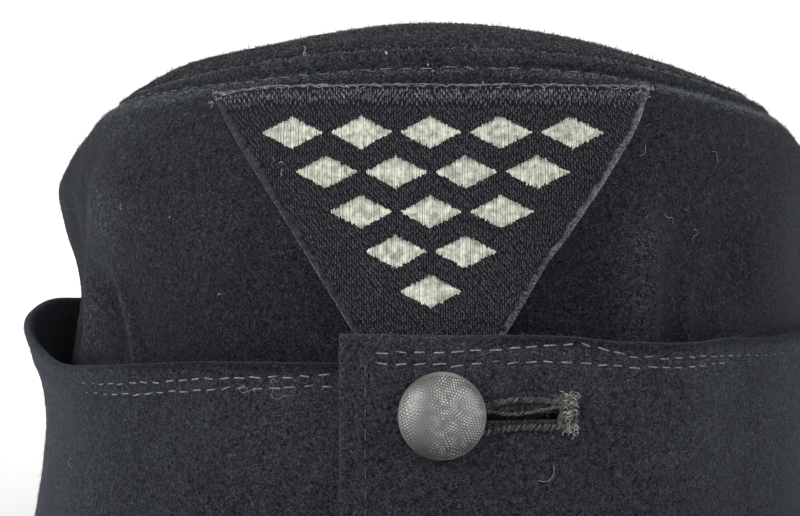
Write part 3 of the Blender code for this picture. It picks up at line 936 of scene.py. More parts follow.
def crowded(low, high, count, weight):
    """Values from low to high that lie closer where the weight function is larger."""
    fine = np.linspace(low, high, 2001)
    total = np.concatenate([[0], np.cumsum(weight((fine[1:] + fine[:-1]) / 2))])
    return np.interp(np.linspace(0, total[-1], count), total, fine)


def front_weight(turn):
    """The front is finer than the back."""
    return 0.4 + 0.6 * (1 - ease(math.radians(95), math.radians(125), np.abs(turn)))


def wall_turns(columns):
    """Turns of the crown wall's sections."""
    return crowded(-math.pi, math.pi, columns + 1, front_weight)[:-1, None]


def crown_wall_grid(columns, rows):
    """Closed sections of the crown wall: up its outer face, over the seam's ridge and down inside."""
    turn = wall_turns(columns)
    right = np.maximum(0, np.sin(turn)) ** 4
    roll = RIDGE_ROUND + RIGHT_ROUND * right
    top = ridge_height(turn) - roll - RIGHT_DROP * right
    share = crowded(0.0, 1.0, rows, lambda s: 0.35 + ease(0.35, 0.5, s) + 1.6 * ease(0.9, 0.95, s))[None]
    height = mix(foot_height(turn), top, share)
    outer = crown_at(turn, height)
    bend = np.linspace(0, math.radians(165), 12)[None, 1:]
    start = crown_relief(turn, top)
    grow = start - (0.75 * RIDGE_ROUND + RIGHT_SHELF * right) * (1 - np.cos(bend))
    ridge = crown_at(turn, top + roll * np.sin(bend), grow, relief=False)
    inner_height = mix(foot_height(turn), top, np.array(WALL_INSIDE)[None])
    depth = mix(RIDGE_WALL, CROWN_CLOTH, ease(0.0, 0.003, top - RIDGE_ROUND - inner_height))
    inner = crown_at(turn, inner_height, -depth, relief=False)
    return np.concatenate([outer, ridge, inner], axis=1)


def top_at(turn, reach, down=0.0):
    """A point of the oval top, from its middle, 0, to the seam, 1, this far down from its face."""
    x, y = oval(TOP_HALF_WIDTH, TOP_HALF_LENGTH, turn)
    height = mix(TOP_CENTRE_HEIGHT, seam_height(turn), reach**TOP_CROWNING) - down
    height = height - (seam_height(turn) - ridge_height(turn)) * reach**8
    points = placed(x * reach + TOP_SHIFT_X, y * reach + TOP_SHIFT_Y, height)
    shift = setting("cloth").wave_height * waves(points, 29) * (1 - ease(0.9, 0.985, reach))
    puff = np.sin(turn) ** 2 * np.where(np.sin(turn) < 0, DOME_LEFT_PUFF, DOME_RIGHT_PUFF)
    shift = shift + puff * hump(reach - 0.82, 0.13) - DOME_FRONT_TRIM * hump(reach, 0.6)
    return points + stack(0, 0, shift)


def crown_top_parts(columns, rows):
    """The oval top: a dome, a rolled edge inside the seam's ridge, and the underside.

    Gives how far out each point is too, as a share of the way to the seam.
    """
    turn = np.linspace(0, 2 * math.pi, columns, endpoint=False)[:, None]
    rim = 1 - TOP_INSET / TOP_HALF_WIDTH
    reach = crowded(TOP_HUB, rim - TOP_ROLL, rows, lambda r: 0.5 + r)[None]
    bend = np.linspace(0, math.pi / 2, 6)[None]
    edge_reach = rim - TOP_ROLL * (1 - np.sin(bend))
    edge_down = TOP_ROLL_DROP * (1 - np.cos(bend))
    under_reach = np.array([rim, *TOP_UNDERSIDE])[None]
    parts = [top_at(turn, reach), top_at(turn, edge_reach[:, 1:], edge_down[:, 1:])]
    grid = np.concatenate([*parts, top_at(turn, under_reach, CROWN_CLOTH)], axis=1)
    out = np.tile(np.concatenate([reach[0], edge_reach[0, 1:], under_reach[0]]), columns)
    rows = grid.shape[1]
    hubs = [grid[:, 0].mean(axis=0), grid[:, -1].mean(axis=0)]
    points = np.concatenate([grid.reshape(-1, 3), hubs])
    c = np.arange(columns)
    ahead = (c + 1) % columns
    first = np.stack([c * rows, np.full(columns, columns * rows), ahead * rows], axis=-1)
    last = np.stack(
        [c * rows + rows - 1, ahead * rows + rows - 1, np.full(columns, columns * rows + 1)], axis=-1
    )
    faces = [strip_faces(columns, rows, True, False), np.concatenate([first, last])]
    return points, faces, np.concatenate([out, [0, 0]])


def flap_grid(end, columns):
    """Closed sections of one half of the flap, from its free end at the front to the seam at the back.

    The upper half's sections are turned a little, so that its free edge stands upright in front.
    """
    back = BACK - SEAM_GAP / 2 / RIM_HALF_WIDTH
    edge_x = FRONT_EDGE_X if end == "over" else -UNDER_END_X
    start = float(turn_at(RIM_HALF_WIDTH, edge_x))
    bend = np.radians([14, 32, 52, 72])
    tip = FLAP_EDGE_ROUND * (1 - np.cos(bend)) / RIM_HALF_WIDTH
    rest = crowded(start + FLAP_EDGE_ROUND / RIM_HALF_WIDTH, back, columns, front_weight)
    turn = np.concatenate([start + tip, rest])[:, None]
    full = np.concatenate([np.sin(bend), np.ones(columns)])[:, None]
    sign = 1 if end == "over" else -1

    def point(below, inward, relief=True):
        inward = mix(FLAP_CLOTH / 2, inward, full)
        at = turn
        if end == "over":
            straight = front_turn(turn, FRONT_EDGE_X, below) - turn_at(RIM_HALF_WIDTH, FRONT_EDGE_X)
            at = turn + straight * (1 - ease(start, start + CORNER_TURN, turn))
        return flap_at(sign * at, below, end, inward, relief)

    wall = flap_height(sign * turn, end) - rim_height(sign * turn)
    fine = np.arange(FLAP_EDGE_ROUND, FINE_DEPTH, FINE_STEP)
    coarse = mix(COARSE_START, wall - FOLD_RADIUS, np.linspace(0, 1, 16)[None])
    outer_below = np.concatenate([np.tile(fine, (len(turn), 1)), coarse], axis=1)
    outer = point(outer_below[:, ::-1], 0.0)
    bend = np.linspace(0, math.pi, 9)[None, 1:-1]
    edge = point(FLAP_EDGE_ROUND * (1 - np.sin(bend)), FLAP_EDGE_ROUND * (1 - np.cos(bend)))
    inner_below = mix(FLAP_EDGE_ROUND, wall - FLAP_CLOTH, np.array(FLAP_INSIDE)[None])
    inner = point(inner_below, FLAP_CLOTH, relief=False)
    return np.concatenate([outer, edge, inner, flap_fold(sign * turn, end)], axis=1)


def flap_fold(turn, end):
    """The fold at the rim: round the toe inside, along the underside and up the outer corner."""
    inner_face = flap_stand(turn, 0.0, end)
    share = toe_share(turn)
    close = ease(TOE_CLOSE_START, TOE_CLOSE_END, np.abs(turn)) * (FLAP_EASE + CROWN_CLOTH / 2)
    toe = inner_face - np.maximum(share * (FLAP_EASE + CROWN_CLOTH), close)
    toe_top = mix(FREE_CORNER_SHARE, 1.0, share) * FLAP_CLOTH
    corner = inner_face + FLAP_CLOTH - FOLD_RADIUS
    spots = [(inner_face, FLAP_CLOTH), (toe, toe_top), (toe, 0.0), ((toe + corner) / 2, 0.0)]
    for bend in np.radians([0, 25, 50, 75]):
        spots.append((corner + FOLD_RADIUS * np.sin(bend), FOLD_RADIUS * (1 - np.cos(bend))))
    rim = rim_height(turn)
    made = []
    for out, up in spots:
        x, y = crown_outline(turn, 0.0, out)
        made.append(placed(x, y, rim + up))
    return np.concatenate(made, axis=1)


def peak_edge(across):
    """The peak's free edge, seen from the head's middle."""
    tip_x, tip_y = crown_outline(np.array(PEAK_TURN), 0.0, -CROWN_CLOTH)
    tip_z = rim_height(PEAK_TURN) - SEAM_GAP
    x, y = oval(tip_x + PEAK_TIP_WIDTH, RIM_HALF_LENGTH + PEAK_LENGTH + tip_y, across * SIDE)
    lift = np.maximum(0, np.abs(across) - PEAK_REST_SHARE) / (1 - PEAK_REST_SHARE)
    return x, tip_y + y, mix(PEAK_EDGE_THICKNESS, tip_z - PEAK_TIP_DROP, lift**PEAK_LIFT_CURVE)


def peak_at(across, out, below):
    """A point of the peak: across it from -1 to 1, out from its root to its edge, and down through it."""
    root_x, root_y = crown_outline(across * PEAK_TURN, 0.0, -CROWN_CLOTH)
    root_z = rim_height(across * PEAK_TURN) - SEAM_GAP
    x, y, z = peak_edge(across)
    bow = PEAK_BOW * (1 - across**2) * (4 * out * (1 - out)) ** 2
    thickness = mix(PEAK_ROOT_THICKNESS, PEAK_EDGE_THICKNESS, out)
    return placed(mix(root_x, x, out), mix(root_y, y, out), mix(root_z, z, out) + bow - below * thickness)


def peak_grid(columns, rows):
    """Closed sections of the peak, across it from tip to tip."""
    across = np.linspace(-1, 1, columns)[:, None]
    out = np.linspace(0, 1, rows)[None]
    top = peak_at(across, out[:, :-1], 0.0)
    bend = np.linspace(0, math.pi, 9)[None]
    rim_out = 1 - PEAK_ROLL * (1 - np.sin(bend))
    rim = peak_at(across, rim_out, (1 - np.cos(bend)) / 2)
    under = peak_at(across, np.linspace(0.97, 0, 12)[None], 1.0)
    relief = 0.5 * setting("cloth").wave_height * waves(top, 37)
    top = top + stack(0, 0, relief * ease(0.0, 0.1, 1 - out[:, :-1]))
    return np.concatenate([top, rim, under], axis=1)


def badge_grid(columns, rows):
    """Closed sections of the badge, one for each upright line: up its face and down its back.

    Gives each point's place on the flat cloth too: how far it is from the middle line, and its height.
    """
    low, high = badge_ends()
    across = crowded(-1, 1, columns, lambda a: 1 + 2 * ease(0.93, 0.98, np.abs(a)))[:, None]
    up = crowded(0, 1, rows, lambda u: 1 + 2 * ease(0.97, 0.99, u))[None]
    height = mix(low, high, up)
    half = badge_half_width(height)
    x = across * half
    inset = np.minimum(half - np.abs(x), 1.2 * (high - height))
    rounding = np.sqrt(1 - (1 - np.clip(inset / BADGE_ROUND, 0, 1)) ** 2)
    hem = HEM_THICKNESS * (1 - ease(HEM_WIDTH - 0.0005, HEM_WIDTH, inset))
    face = badge_at(x, height, mix(BADGE_EDGE_OUT, BADGE_CLOTH, rounding) + hem)
    back_up = np.linspace(1, 0, 20)[None]
    back_height = mix(low, high, back_up)
    back = badge_at(across * badge_half_width(back_height), back_height)
    height = np.concatenate([height, back_height], axis=1)
    return np.concatenate([face, back], axis=1), stack(across * badge_half_width(height), height)


def row_of_stitches(surface, a, b, pitch, cover, thread, seed, sink=0.0, tilt=0.00012):
    """Paths of stitches along a row on a surface, where a and b are the row's two coordinates.

    sink, a number or one for each point of the row, is how deep they lie, a share of the thread's radius.
    """
    rng = np.random.default_rng(seed)
    line = surface(a, b)
    along = np.concatenate([[0], np.cumsum(np.linalg.norm(np.diff(line, axis=0), axis=1))])
    count = int(along[-1] / pitch)
    start = (np.arange(count) + 0.5 * (1 - cover)) * pitch + rng.normal(0, 0.05 * pitch, count)
    reach = cover * pitch * rng.uniform(0.86, 1.12, count)
    share = np.linspace(0, 1, 7)
    at = start[:, None] + reach[:, None] * share
    a_at, b_at = np.interp(at, along, a), np.interp(at, along, b)
    side = rng.normal(0, tilt, (count, 1)) + rng.normal(0, tilt, (count, 1)) * (share - 0.5) * 2
    depth = np.interp(at, along, np.broadcast_to(sink, a.shape)) + rng.uniform(-0.1, 0.5, (count, 1))
    lift = thread * (0.75 - depth - 1.9 * (2 * share - 1) ** 4)
    _, up, out = across_and_up(surface, a_at, b_at)
    return surface(a_at, b_at) + up * side[..., None] + out * lift[..., None], out[:, 3]


def scaled_flap(end):
    """The flap's surface by length along the rim and by height over the flap's edge."""
    return lambda a, b: flap_at(a / RIM_HALF_WIDTH, -b, end)


def button_seat():
    """Where the button's axis leaves the flap, and its level, upward and outward directions."""
    turn = np.array([float(turn_at(RIM_HALF_WIDTH, BUTTON_X))])
    below = np.array([BUTTON_BELOW_EDGE])
    level, _, out = across_and_up(lambda a, b: flap_at(a, -b, "over", relief=False), turn, -below, 0.001)
    place = flap_at(turn, below, "over", relief=False)[0]
    return place, level[0], np.cross(out[0], level[0]), out[0]


def from_button(across, up, out=0.0):
    """Points on the upper flap this far across and up from the button's axis, and out from the cloth."""
    place = button_seat()[0]
    across = np.asarray(across, float)
    below = BUTTON_BELOW_EDGE + corner_free_edge(place[0] - HEAD_X + across) - np.asarray(up, float)
    return front_flap_at(place[0] - HEAD_X + across, below, out)


def corner_free_edge(x):
    """How much the flap's edge at this x is above its height over the button."""
    turn = turn_at(RIM_HALF_WIDTH, x)
    return flap_height(turn, "over") - flap_height(turn_at(RIM_HALF_WIDTH, BUTTON_X), "over")


def rope(line, out, radius, turns, yarns, thread, seed):
    """Three strands that twist round a line on the cloth, each a few yarns of thread."""
    rng = np.random.default_rng(seed)
    count = len(line)
    ahead = unit(np.gradient(line, axis=0))
    side = unit(np.cross(ahead, out))
    up = np.cross(side, ahead)
    share = np.linspace(0, 1, count)
    paths = []
    for strand in range(3):
        for yarn in range(yarns):
            wobble = 0.5 * noise(stack(9 * share, strand, yarn), 1.0, seed)
            angle = 2 * math.pi * (turns * share + strand / 3) + wobble
            inner = 2 * math.pi * (2.2 * turns * share + yarn / yarns) + rng.uniform(0, 6)
            spread = 0.42 * radius
            across = radius * 0.58 * np.cos(angle) + spread * np.cos(inner)
            above = radius * (0.55 + 0.5 * np.sin(angle)) + spread * np.sin(inner)
            paths.append(line + side * across[:, None] + up * above[:, None])
    return tubes(paths, out.mean(axis=0), thread / 2, 5)


def smooth_line(spots, count):
    """A smooth line through spots of (across, up), with its points evenly spread by across."""
    spots = table("across up", *spots)
    at = np.linspace(spots[0].across, spots[-1].across, count)
    return at, column(spots, "up", at)


def cut_slit(flap):
    """Cuts the buttonhole through the upper flap: a slit that starts in an eye round the shank."""
    place, level, up, out = button_seat()
    depth = 3 * FLAP_CLOTH
    eye_radius = SHANK_DIAMETER / 2 + SHANK_CLEARANCE
    angle = np.linspace(math.radians(25), math.radians(335), 20)
    outline = np.stack([eye_radius * np.cos(angle), eye_radius * np.sin(angle)], axis=-1)
    slit = [(SLIT_LENGTH, -SLIT_WIDTH / 2), (SLIT_LENGTH, SLIT_WIDTH / 2)]
    outline = np.concatenate([outline, slit])
    rings = [place + outline[:, :1] * level + outline[:, 1:] * up + side * depth * out for side in (-1, 1)]
    points, faces = lofted(np.stack(rings), False)
    cutter = new_piece("slit_cutter", points, faces, wool(), "wool_cloth")
    hole = flap.modifiers.new("Buttonhole", "BOOLEAN")
    hole.object = cutter
    hole.solver = "EXACT"
    bpy.context.view_layer.update()
    mesh = bpy.data.meshes.new_from_object(flap.evaluated_get(bpy.context.evaluated_depsgraph_get()))
    flap.modifiers.clear()
    flap.data = mesh
    bpy.data.objects.remove(cutter)


def button_grid(sides, rings):
    """Rings of the pebbled dome from its top to its back, and how far each point is raised."""
    button = setting("button")
    radius = BUTTON_DIAMETER / 2
    share = np.linspace(0.012, 1, rings)[:, None]
    angle = np.linspace(0, 2 * math.pi, sides, endpoint=False)[None]
    lean = math.pi / 2 * share**0.85
    flat = radius * np.sin(lean)
    u, v = flat * np.cos(angle), flat * np.sin(angle)
    warp = stack(u, v, 0)
    shift_u, shift_v = noise(warp, PEBBLE_WANDER_SIZE, 71), noise(warp, PEBBLE_WANDER_SIZE, 72)
    pu, pv = u + PEBBLE_WANDER * shift_u, v + PEBBLE_WANDER * shift_v
    wave = 2 * math.pi / (button.pebble_pitch * 0.866)
    pebble = sum(
        np.cos(wave * (pu * math.cos(turn) + pv * math.sin(turn))) for turn in np.radians([15, 75, 135])
    )
    pebble = np.clip((pebble + 1.5) / 4.5, 0, 1) ** 1.3
    pebble = pebble * (0.6 + 0.4 * noise(warp, PEBBLE_PATCH, 73)) * (1 - ease(0.95, 1.0, flat / radius))
    # Lower pebbles in a band left of the middle, which also darkens their paint there as part of the painted
    # reflection
    pebble = pebble * (1 - 0.6 * hump(u + 0.0028, 0.0012))
    z = SEAM_GAP + BUTTON_RIM + BUTTON_DOME * np.cos(lean)
    lift = button.pebble_height * pebble
    u, v, z = u * (1 + lift / radius), v * (1 + lift / radius), z + lift * np.cos(lean)
    out, height = np.array(BUTTON_BACK).T[..., None]
    back = stack(out * radius * np.cos(angle), out * radius * np.sin(angle), height)
    rim = pebble + 0.5 * ease(0.93, 1.0, flat / radius)
    raised = np.vstack([rim, np.full((len(BUTTON_BACK), sides), 0.5)])
    return np.concatenate([stack(u, v, z), back]), raised


def strands(x, low, high, thread, lift, rng):
    """Upright satin strands over the badge at each x, from low to high, with slightly uneven ends."""
    share = np.linspace(0, 1, 5)
    ends = rng.normal(0, 0.00010, (2, len(x), 1))
    height = mix(low[:, None] + ends[0], high[:, None] + ends[1], share)
    across = x[:, None] + rng.normal(0, 0.00003, (len(x), 1))
    out = BADGE_CLOTH + lift * (1 - (2 * share - 1) ** 6) + 0.00003 * rng.normal(0, 1, (len(x), 1))
    return tubes(badge_at(across, height, out), FORWARD, thread / 2, 5)


def lozenge_centres():
    """Middles of the stitched lozenges: rows of five down to one, in a triangle on its point."""
    badge = setting("badge")
    _, high = badge_ends()
    first = high - badge.motif_below
    for row in range(badge.motif_rows):
        count = badge.motif_rows - row
        for i in range(count):
            yield (i - (count - 1) / 2) * badge.motif_pitch, first - row * badge.motif_drop


def under_lozenge(x, height):
    """True where a stitched lozenge covers the badge."""
    badge = setting("badge")
    covered = np.zeros(np.shape(x), bool)
    for middle, centre in lozenge_centres():
        across = np.abs(x - middle) / badge.motif_width
        covered |= across + np.abs(height - centre) / badge.motif_height < LOZENGE_COVER
    return covered


def weave_threads(low, high, pitch, length, thickness, lean, rng):
    """Part of the badge's weave: short upright threads, staggered from column to column."""
    columns = np.arange(-BADGE_TOP_WIDTH / 2, BADGE_TOP_WIDTH / 2, pitch)
    rows = np.arange(high - 0.6 * length, low, -length)
    x = columns[:, None] + rng.normal(0, 0.09 * pitch, (len(columns), len(rows)))
    stagger = 0.5 * length * (np.arange(len(columns)) % 2)[:, None]
    height = rows + stagger + rng.normal(0, 0.16 * length, x.shape)
    keep = (np.abs(x) < badge_half_width(height) - HEM_WIDTH) & ~under_lozenge(x, height)
    keep &= height + 0.6 * length < badge_ends()[1] + 0.0002
    x, height = x[keep][:, None], height[keep][:, None]
    share = np.array([-0.58, -0.3, 0.3, 0.58])
    lean = lean + 0.25 * noise(stack(x, height, 0.0), 0.005, 84) + rng.normal(0, 0.12, x.shape)
    radius = thickness / 2 * rng.uniform(0.7, 1.2, (len(x), 1))
    out = BADGE_CLOTH + radius * np.array([-0.8, 0.6, 0.6, -0.8])
    paths = badge_at(x - lean * share * length, height + share * length, out)
    return tubes(paths[:, 1:3], FORWARD, radius, 4, paths[:, [0, 3]])


def loose_threads(surface, spots, length, curl, lift, rng):
    """Paths of loose curled threads from spots of a surface of two lengths and a distance out from it."""
    share = np.linspace(0, 1, 12)
    paths = []
    for a, b in spots:
        reach = length * rng.uniform(0.6, 1.4)
        heading = rng.uniform(0, 2 * math.pi) + curl * np.sin(rng.uniform(2, 6) * share + rng.uniform(0, 6))
        across = a + np.cumsum(np.cos(heading)) * reach / 12
        up = b + np.cumsum(np.sin(heading)) * reach / 12
        paths.append(surface(across, up, lift * np.sin(math.pi * share) * rng.uniform(0.5, 1.5)))
    return np.array(paths)


def lozenge_strands(rng):
    """Satin strands that fill the lozenges."""
    badge = setting("badge")
    step = 0.78 * badge.strand_pitch
    x, low, high = [], [], []
    for middle, height in lozenge_centres():
        across = np.arange(-badge.motif_width / 2 + step, badge.motif_width / 2, step)
        half = badge.motif_height / 2 * (1 - np.abs(across) / (badge.motif_width / 2))
        x.extend(middle + across)
        low.extend(height - half)
        high.extend(height + half)
    return strands(np.array(x), np.array(low), np.array(high), 1.3 * step, 0.00020, rng)


def new_material(name):
    look = bpy.data.materials.new(name)
    look.use_nodes = True
    tree = look.node_tree
    return look, tree, tree.nodes["Principled BSDF"]


def add_node(tree, kind, sockets=None, **options):
    """A shader node with its options set and its sockets given a value or a link."""
    made = tree.nodes.new("ShaderNode" + kind)
    for option, value in options.items():
        setattr(made, option, value)
    for socket, value in (sockets or {}).items():
        if isinstance(value, bpy.types.NodeSocket):
            tree.links.new(value, made.inputs[socket])
        else:
            made.inputs[socket].default_value = value
    return made


def ramp(tree, value, low, high, dark, light):
    """A colour that goes from dark to light as the value goes from low to high."""
    made = add_node(tree, "ValToRGB", {0: value})
    made.color_ramp.elements[0].position = low
    made.color_ramp.elements[1].position = high
    made.color_ramp.elements[0].color = (*dark, 1)
    made.color_ramp.elements[1].color = (*light, 1)
    return made.outputs["Color"]


def math_node(tree, operation, first, second):
    return add_node(tree, "Math", {0: first, 1: second}, operation=operation).outputs[0]


def noise_node(tree, place, scale, detail, roughness=0.5, distortion=0.0):
    sockets = {"Vector": place, "Scale": scale, "Detail": detail, "Roughness": roughness}
    return add_node(tree, "TexNoise", {**sockets, "Distortion": distortion}).outputs["Fac"]


def map_range(tree, value, low, high, start=0.0, end=1.0):
    """Goes from low to high as the value goes from start to end."""
    sockets = {"Value": value, "From Min": start, "From Max": end, "To Min": low, "To Max": high}
    return add_node(tree, "MapRange", sockets).outputs["Result"]


def blend(tree, share, first, second, kind="MIX"):
    """Two colours mixed, or multiplied."""
    sockets = {0: share, 6: first, 7: second}
    return add_node(tree, "Mix", sockets, data_type="RGBA", blend_type=kind).outputs[2]


def own_place(tree):
    """Coordinates on the piece itself."""
    return add_node(tree, "TexCoord").outputs["Object"]


def attribute(tree, name):
    """A value that shade has given to the piece's points."""
    return add_node(tree, "Attribute", attribute_name=name).outputs["Fac"]


def scaled(colour, share):
    return [share * c for c in colour]


def set_surface(tree, shader, colour, relief, rough, gloss=0.5, sheen=0.0):
    """Links a shader's colour, bump and roughness, and sets its gloss and sheen.

    relief is a height, the bump's strength and its distance. rough is a value from 0 to 1 and the
    roughness at each end.
    """
    height, strength, distance = relief
    bump = add_node(tree, "Bump", {"Strength": strength, "Distance": distance, "Height": height})
    tree.links.new(colour, shader.inputs["Base Color"])
    tree.links.new(bump.outputs["Normal"], shader.inputs["Normal"])
    tree.links.new(map_range(tree, *rough), shader.inputs["Roughness"])
    shader.inputs["Specular IOR Level"].default_value = gloss
    shader.inputs["Sheen Weight"].default_value = sheen


def curled_lines(tree, place, size, width, offset):
    """Thin curled lines, 1 on a line and 0 off it: the level lines of a noise with lumps of this size."""
    moved = add_node(tree, "Mapping", {"Vector": place, "Location": (offset, 1.7 * offset, -offset)})
    level = noise_node(tree, moved.outputs[0], 1 / size, 1.0, distortion=0.8)
    off = math_node(tree, "ABSOLUTE", math_node(tree, "SUBTRACT", level, 0.5), 0.0)
    return map_range(tree, off, 1.0, 0.0, 0.0, width)


def wool_material(name, colour, sheen, size, relief=0.00040):
    """Fulled wool: curled fibres over a mottled felt, soft patches and a bluish bloom, darkened or lightened
    by the points' painted shade and highlights.
    """
    look, tree, shader = new_material(name)
    cloth = setting("cloth")
    place = own_place(tree)
    felt = noise_node(tree, place, 1.4 / size, 3.0, 0.65, 1.5)
    patch = noise_node(tree, place, 70.0, 3.0, 0.55)
    fine = curled_lines(tree, place, size, 0.035, 0.011)
    loose = curled_lines(tree, place, 1.9 * size, 0.018, 0.037)
    lines = math_node(tree, "MAXIMUM", fine, loose)
    lines = math_node(tree, "MULTIPLY", lines, map_range(tree, felt, 0.1, 1.0, 0.40, 0.62))
    felted = ramp(tree, felt, 0.38, 0.62, scaled(colour, 0.2), scaled(colour, 1.95))
    made = blend(tree, lines, felted, (*scaled(colour, 6.0), 1))
    patches = ramp(tree, patch, 0.30, 0.70, (0.88,) * 3, (1.12,) * 3)
    made = blend(tree, 1.0, made, patches, "MULTIPLY")
    # Painted shade and painted highlights: the points' values darken the wool where they are above 0 and
    # lighten it where they are below
    darker = math_node(tree, "MULTIPLY", attribute(tree, "painted_shade"), cloth.painted_shade_share)
    made = blend(tree, 1.0, made, math_node(tree, "SUBTRACT", 1.0, darker), "MULTIPLY")
    height = math_node(tree, "ADD", felt, math_node(tree, "MULTIPLY", lines, 0.5))
    set_surface(tree, shader, made, (height, 0.8, relief), (felt, 0.84, 1.0), 0.04, sheen)
    shader.inputs["Sheen Roughness"].default_value = 0.45
    shader.inputs["Sheen Tint"].default_value = (*cloth.sheen_colour, 1)
    return look


def thread_material(name, colour, spread, scale=1800.0, sheen=0.05):
    """Sewing thread, with plies that show as fine changes of tone."""
    look, tree, shader = new_material(name)
    grain = noise_node(tree, own_place(tree), scale, 2.0, 0.6)
    made = ramp(tree, grain, 0.32, 0.70, scaled(colour, 1 - spread), scaled(colour, 1 + spread))
    set_surface(tree, shader, made, (grain, 0.4, 0.0001), (grain, 0.55, 0.8), 0.15, sheen)
    return look


def badge_material():
    """The badge's dark ground under its weave, and its mottled hems with a rubbed edge and a painted
    highlight.
    """
    look, tree, shader = new_material("badge_ground")
    badge = setting("badge")
    place = own_place(tree)
    grain = noise_node(tree, place, 2400.0, 2.0, 0.7)
    mottle = noise_node(tree, place, 1100.0, 3.0, 0.7)
    fleck = noise_node(tree, place, 2300.0, 3.0, 0.8)
    ground = ramp(tree, grain, 0.3, 0.7, scaled(badge.ground_colour, 0.2), list(badge.ground_colour))
    folded = ramp(tree, mottle, 0.36, 0.66, scaled(badge.hem_colour, 0.3), scaled(badge.hem_colour, 1.7))
    edge = ramp(tree, fleck, 0.42, 0.58, scaled(badge.rubbed_and_highlight_colour, 0.15), scaled(badge.rubbed_and_highlight_colour, 1.9))
    made = blend(tree, attribute(tree, "hem"), ground, folded)
    # Rubbed edge and painted highlight on the hems
    made = blend(tree, attribute(tree, "wear_and_painted_light"), made, edge)
    set_surface(tree, shader, made, (mottle, 0.7, 0.0003), (grain, 0.7, 0.95), 0.08, 0.03)
    return look


def button_material():
    """Grey paint on pebbled metal: darker in the pebbles' hollows as painted shade, lighter on their tops
    from wear and painted light, and rubbed bright to metal on the tops.
    """
    look, tree, shader = new_material("button_grey")
    button = setting("button")
    place = own_place(tree)
    cloud = noise_node(tree, place, 260.0, 3.0, 0.6)
    speck = noise_node(tree, place, 2600.0, 2.0, 0.7)
    raised = attribute(tree, "raised")
    wear = math_node(tree, "MULTIPLY", math_node(tree, "MULTIPLY", raised, speck), cloud)
    # Painted shade in the hollows between the pebbles, lighter paint on their tops
    paint = ramp(tree, raised, 0.05, 0.75, scaled(button.colour, 0.4), scaled(button.colour, 1.35))
    bare = ramp(tree, wear, 0.16, 0.34, (0.0,) * 3, (1.0,) * 3)
    made = blend(tree, bare, paint, (*button.worn_colour, 1))
    set_surface(tree, shader, made, (speck, 0.25, 0.00008), (speck, 0.34, 0.6))
    shader.inputs["Metallic"].default_value = 0.55
    return look


def shared_look(make, name, *values):
    """A material that several pieces share, made when the first of them asks for it."""
    return bpy.data.materials.get(name) or make(name, *values)


def wool():
    cloth = setting("cloth")
    return shared_look(wool_material, "wool", cloth.wool_colour, cloth.sheen, cloth.curl_size)


def top_wool():
    cloth = setting("cloth")
    # Painted shade: the top's wool is a darker copy of the wall's, against the stronger light on the top
    colour = scaled(cloth.wool_colour, 0.78)
    return shared_look(wool_material, "top_wool", colour, 0.25 * cloth.sheen, 1.9 * cloth.curl_size, 0.0010)


def worn_wool():
    # Painted light: a lighter copy of the wool for the flap and the peak, for the light that the flap catches
    cloth = setting("cloth")
    return shared_look(wool_material, "worn_wool", cloth.worn_colour, 1.6 * cloth.sheen, cloth.curl_size)


def grey_thread():
    return shared_look(thread_material, "grey_thread", setting("thread").colour, 0.45)


def loose_wool():
    """Loose ends of wool, a little lighter than the cloth."""
    return shared_look(thread_material, "nap", setting("cloth").nap_colour, 0.6, 500.0, 0.1)


def surface_samples(piece, count, rng, keep):
    """Random points on a mesh piece by area, with their normals, where keep(centre, normal) allows."""
    mesh = piece.data
    mesh.calc_loop_triangles()
    corners = np.zeros(len(mesh.loop_triangles) * 3, np.int32)
    mesh.loop_triangles.foreach_get("vertices", corners)
    corners = corners.reshape(-1, 3)
    points = np.zeros(len(mesh.vertices) * 3)
    mesh.vertices.foreach_get("co", points)
    triangle = points.reshape(-1, 3)[corners]
    cross = np.cross(triangle[:, 1] - triangle[:, 0], triangle[:, 2] - triangle[:, 0])
    weight = np.linalg.norm(cross, axis=1) * keep(triangle.mean(axis=1), unit(cross))
    chosen = rng.choice(len(weight), count, p=weight / weight.sum())
    a, b = rng.random((2, count, 1))
    over = a + b > 1
    a, b = np.where(over, 1 - a, a), np.where(over, 1 - b, b)
    corner, first, second = triangle[chosen].transpose(1, 0, 2)
    return corner + a * (first - corner) + b * (second - corner), unit(cross[chosen])


def fibres(roots, normals, length, thickness, lift, rng, curl=1.0):
    """Bent loose fibres that lie on the cloth, each a closed three-sided spindle."""
    count = len(roots)
    level = unit(np.cross(normals, rng.normal(0, 1, (count, 3))))
    side = np.cross(normals, level)
    reach = length * rng.uniform(0.5, 1.5, (count, 1))
    sweep = rng.normal(0, curl, (count, 1))
    rise = lift * rng.uniform(0.3, 1.6, (count, 1)) * np.where(rng.random((count, 1)) < 0.10, 2.2, 1.0)
    start = roots - normals * thickness
    middle = start + level * reach / 2 + normals * rise
    onward = level * np.cos(sweep) + side * np.sin(sweep)
    end = middle + onward * reach / 2 + normals * rise * rng.normal(0, 0.4, (count, 1))
    angle = np.radians([90, 210, 330])[:, None]
    ahead = unit(end - start)
    across = unit(np.cross(ahead, normals))
    ring = middle[:, None] + 0.6 * thickness * (
        np.cos(angle) * across[:, None] + np.sin(angle) * np.cross(across, ahead)[:, None]
    )
    points = np.concatenate([start[:, None], ring, end[:, None]], axis=1)
    faces = np.array([[0, 2, 1], [0, 3, 2], [0, 1, 3], [4, 1, 2], [4, 2, 3], [4, 3, 1]])
    faces = faces[None] + 5 * np.arange(count)[:, None, None]
    return points.reshape(-1, 3), [faces.reshape(-1, 3)]


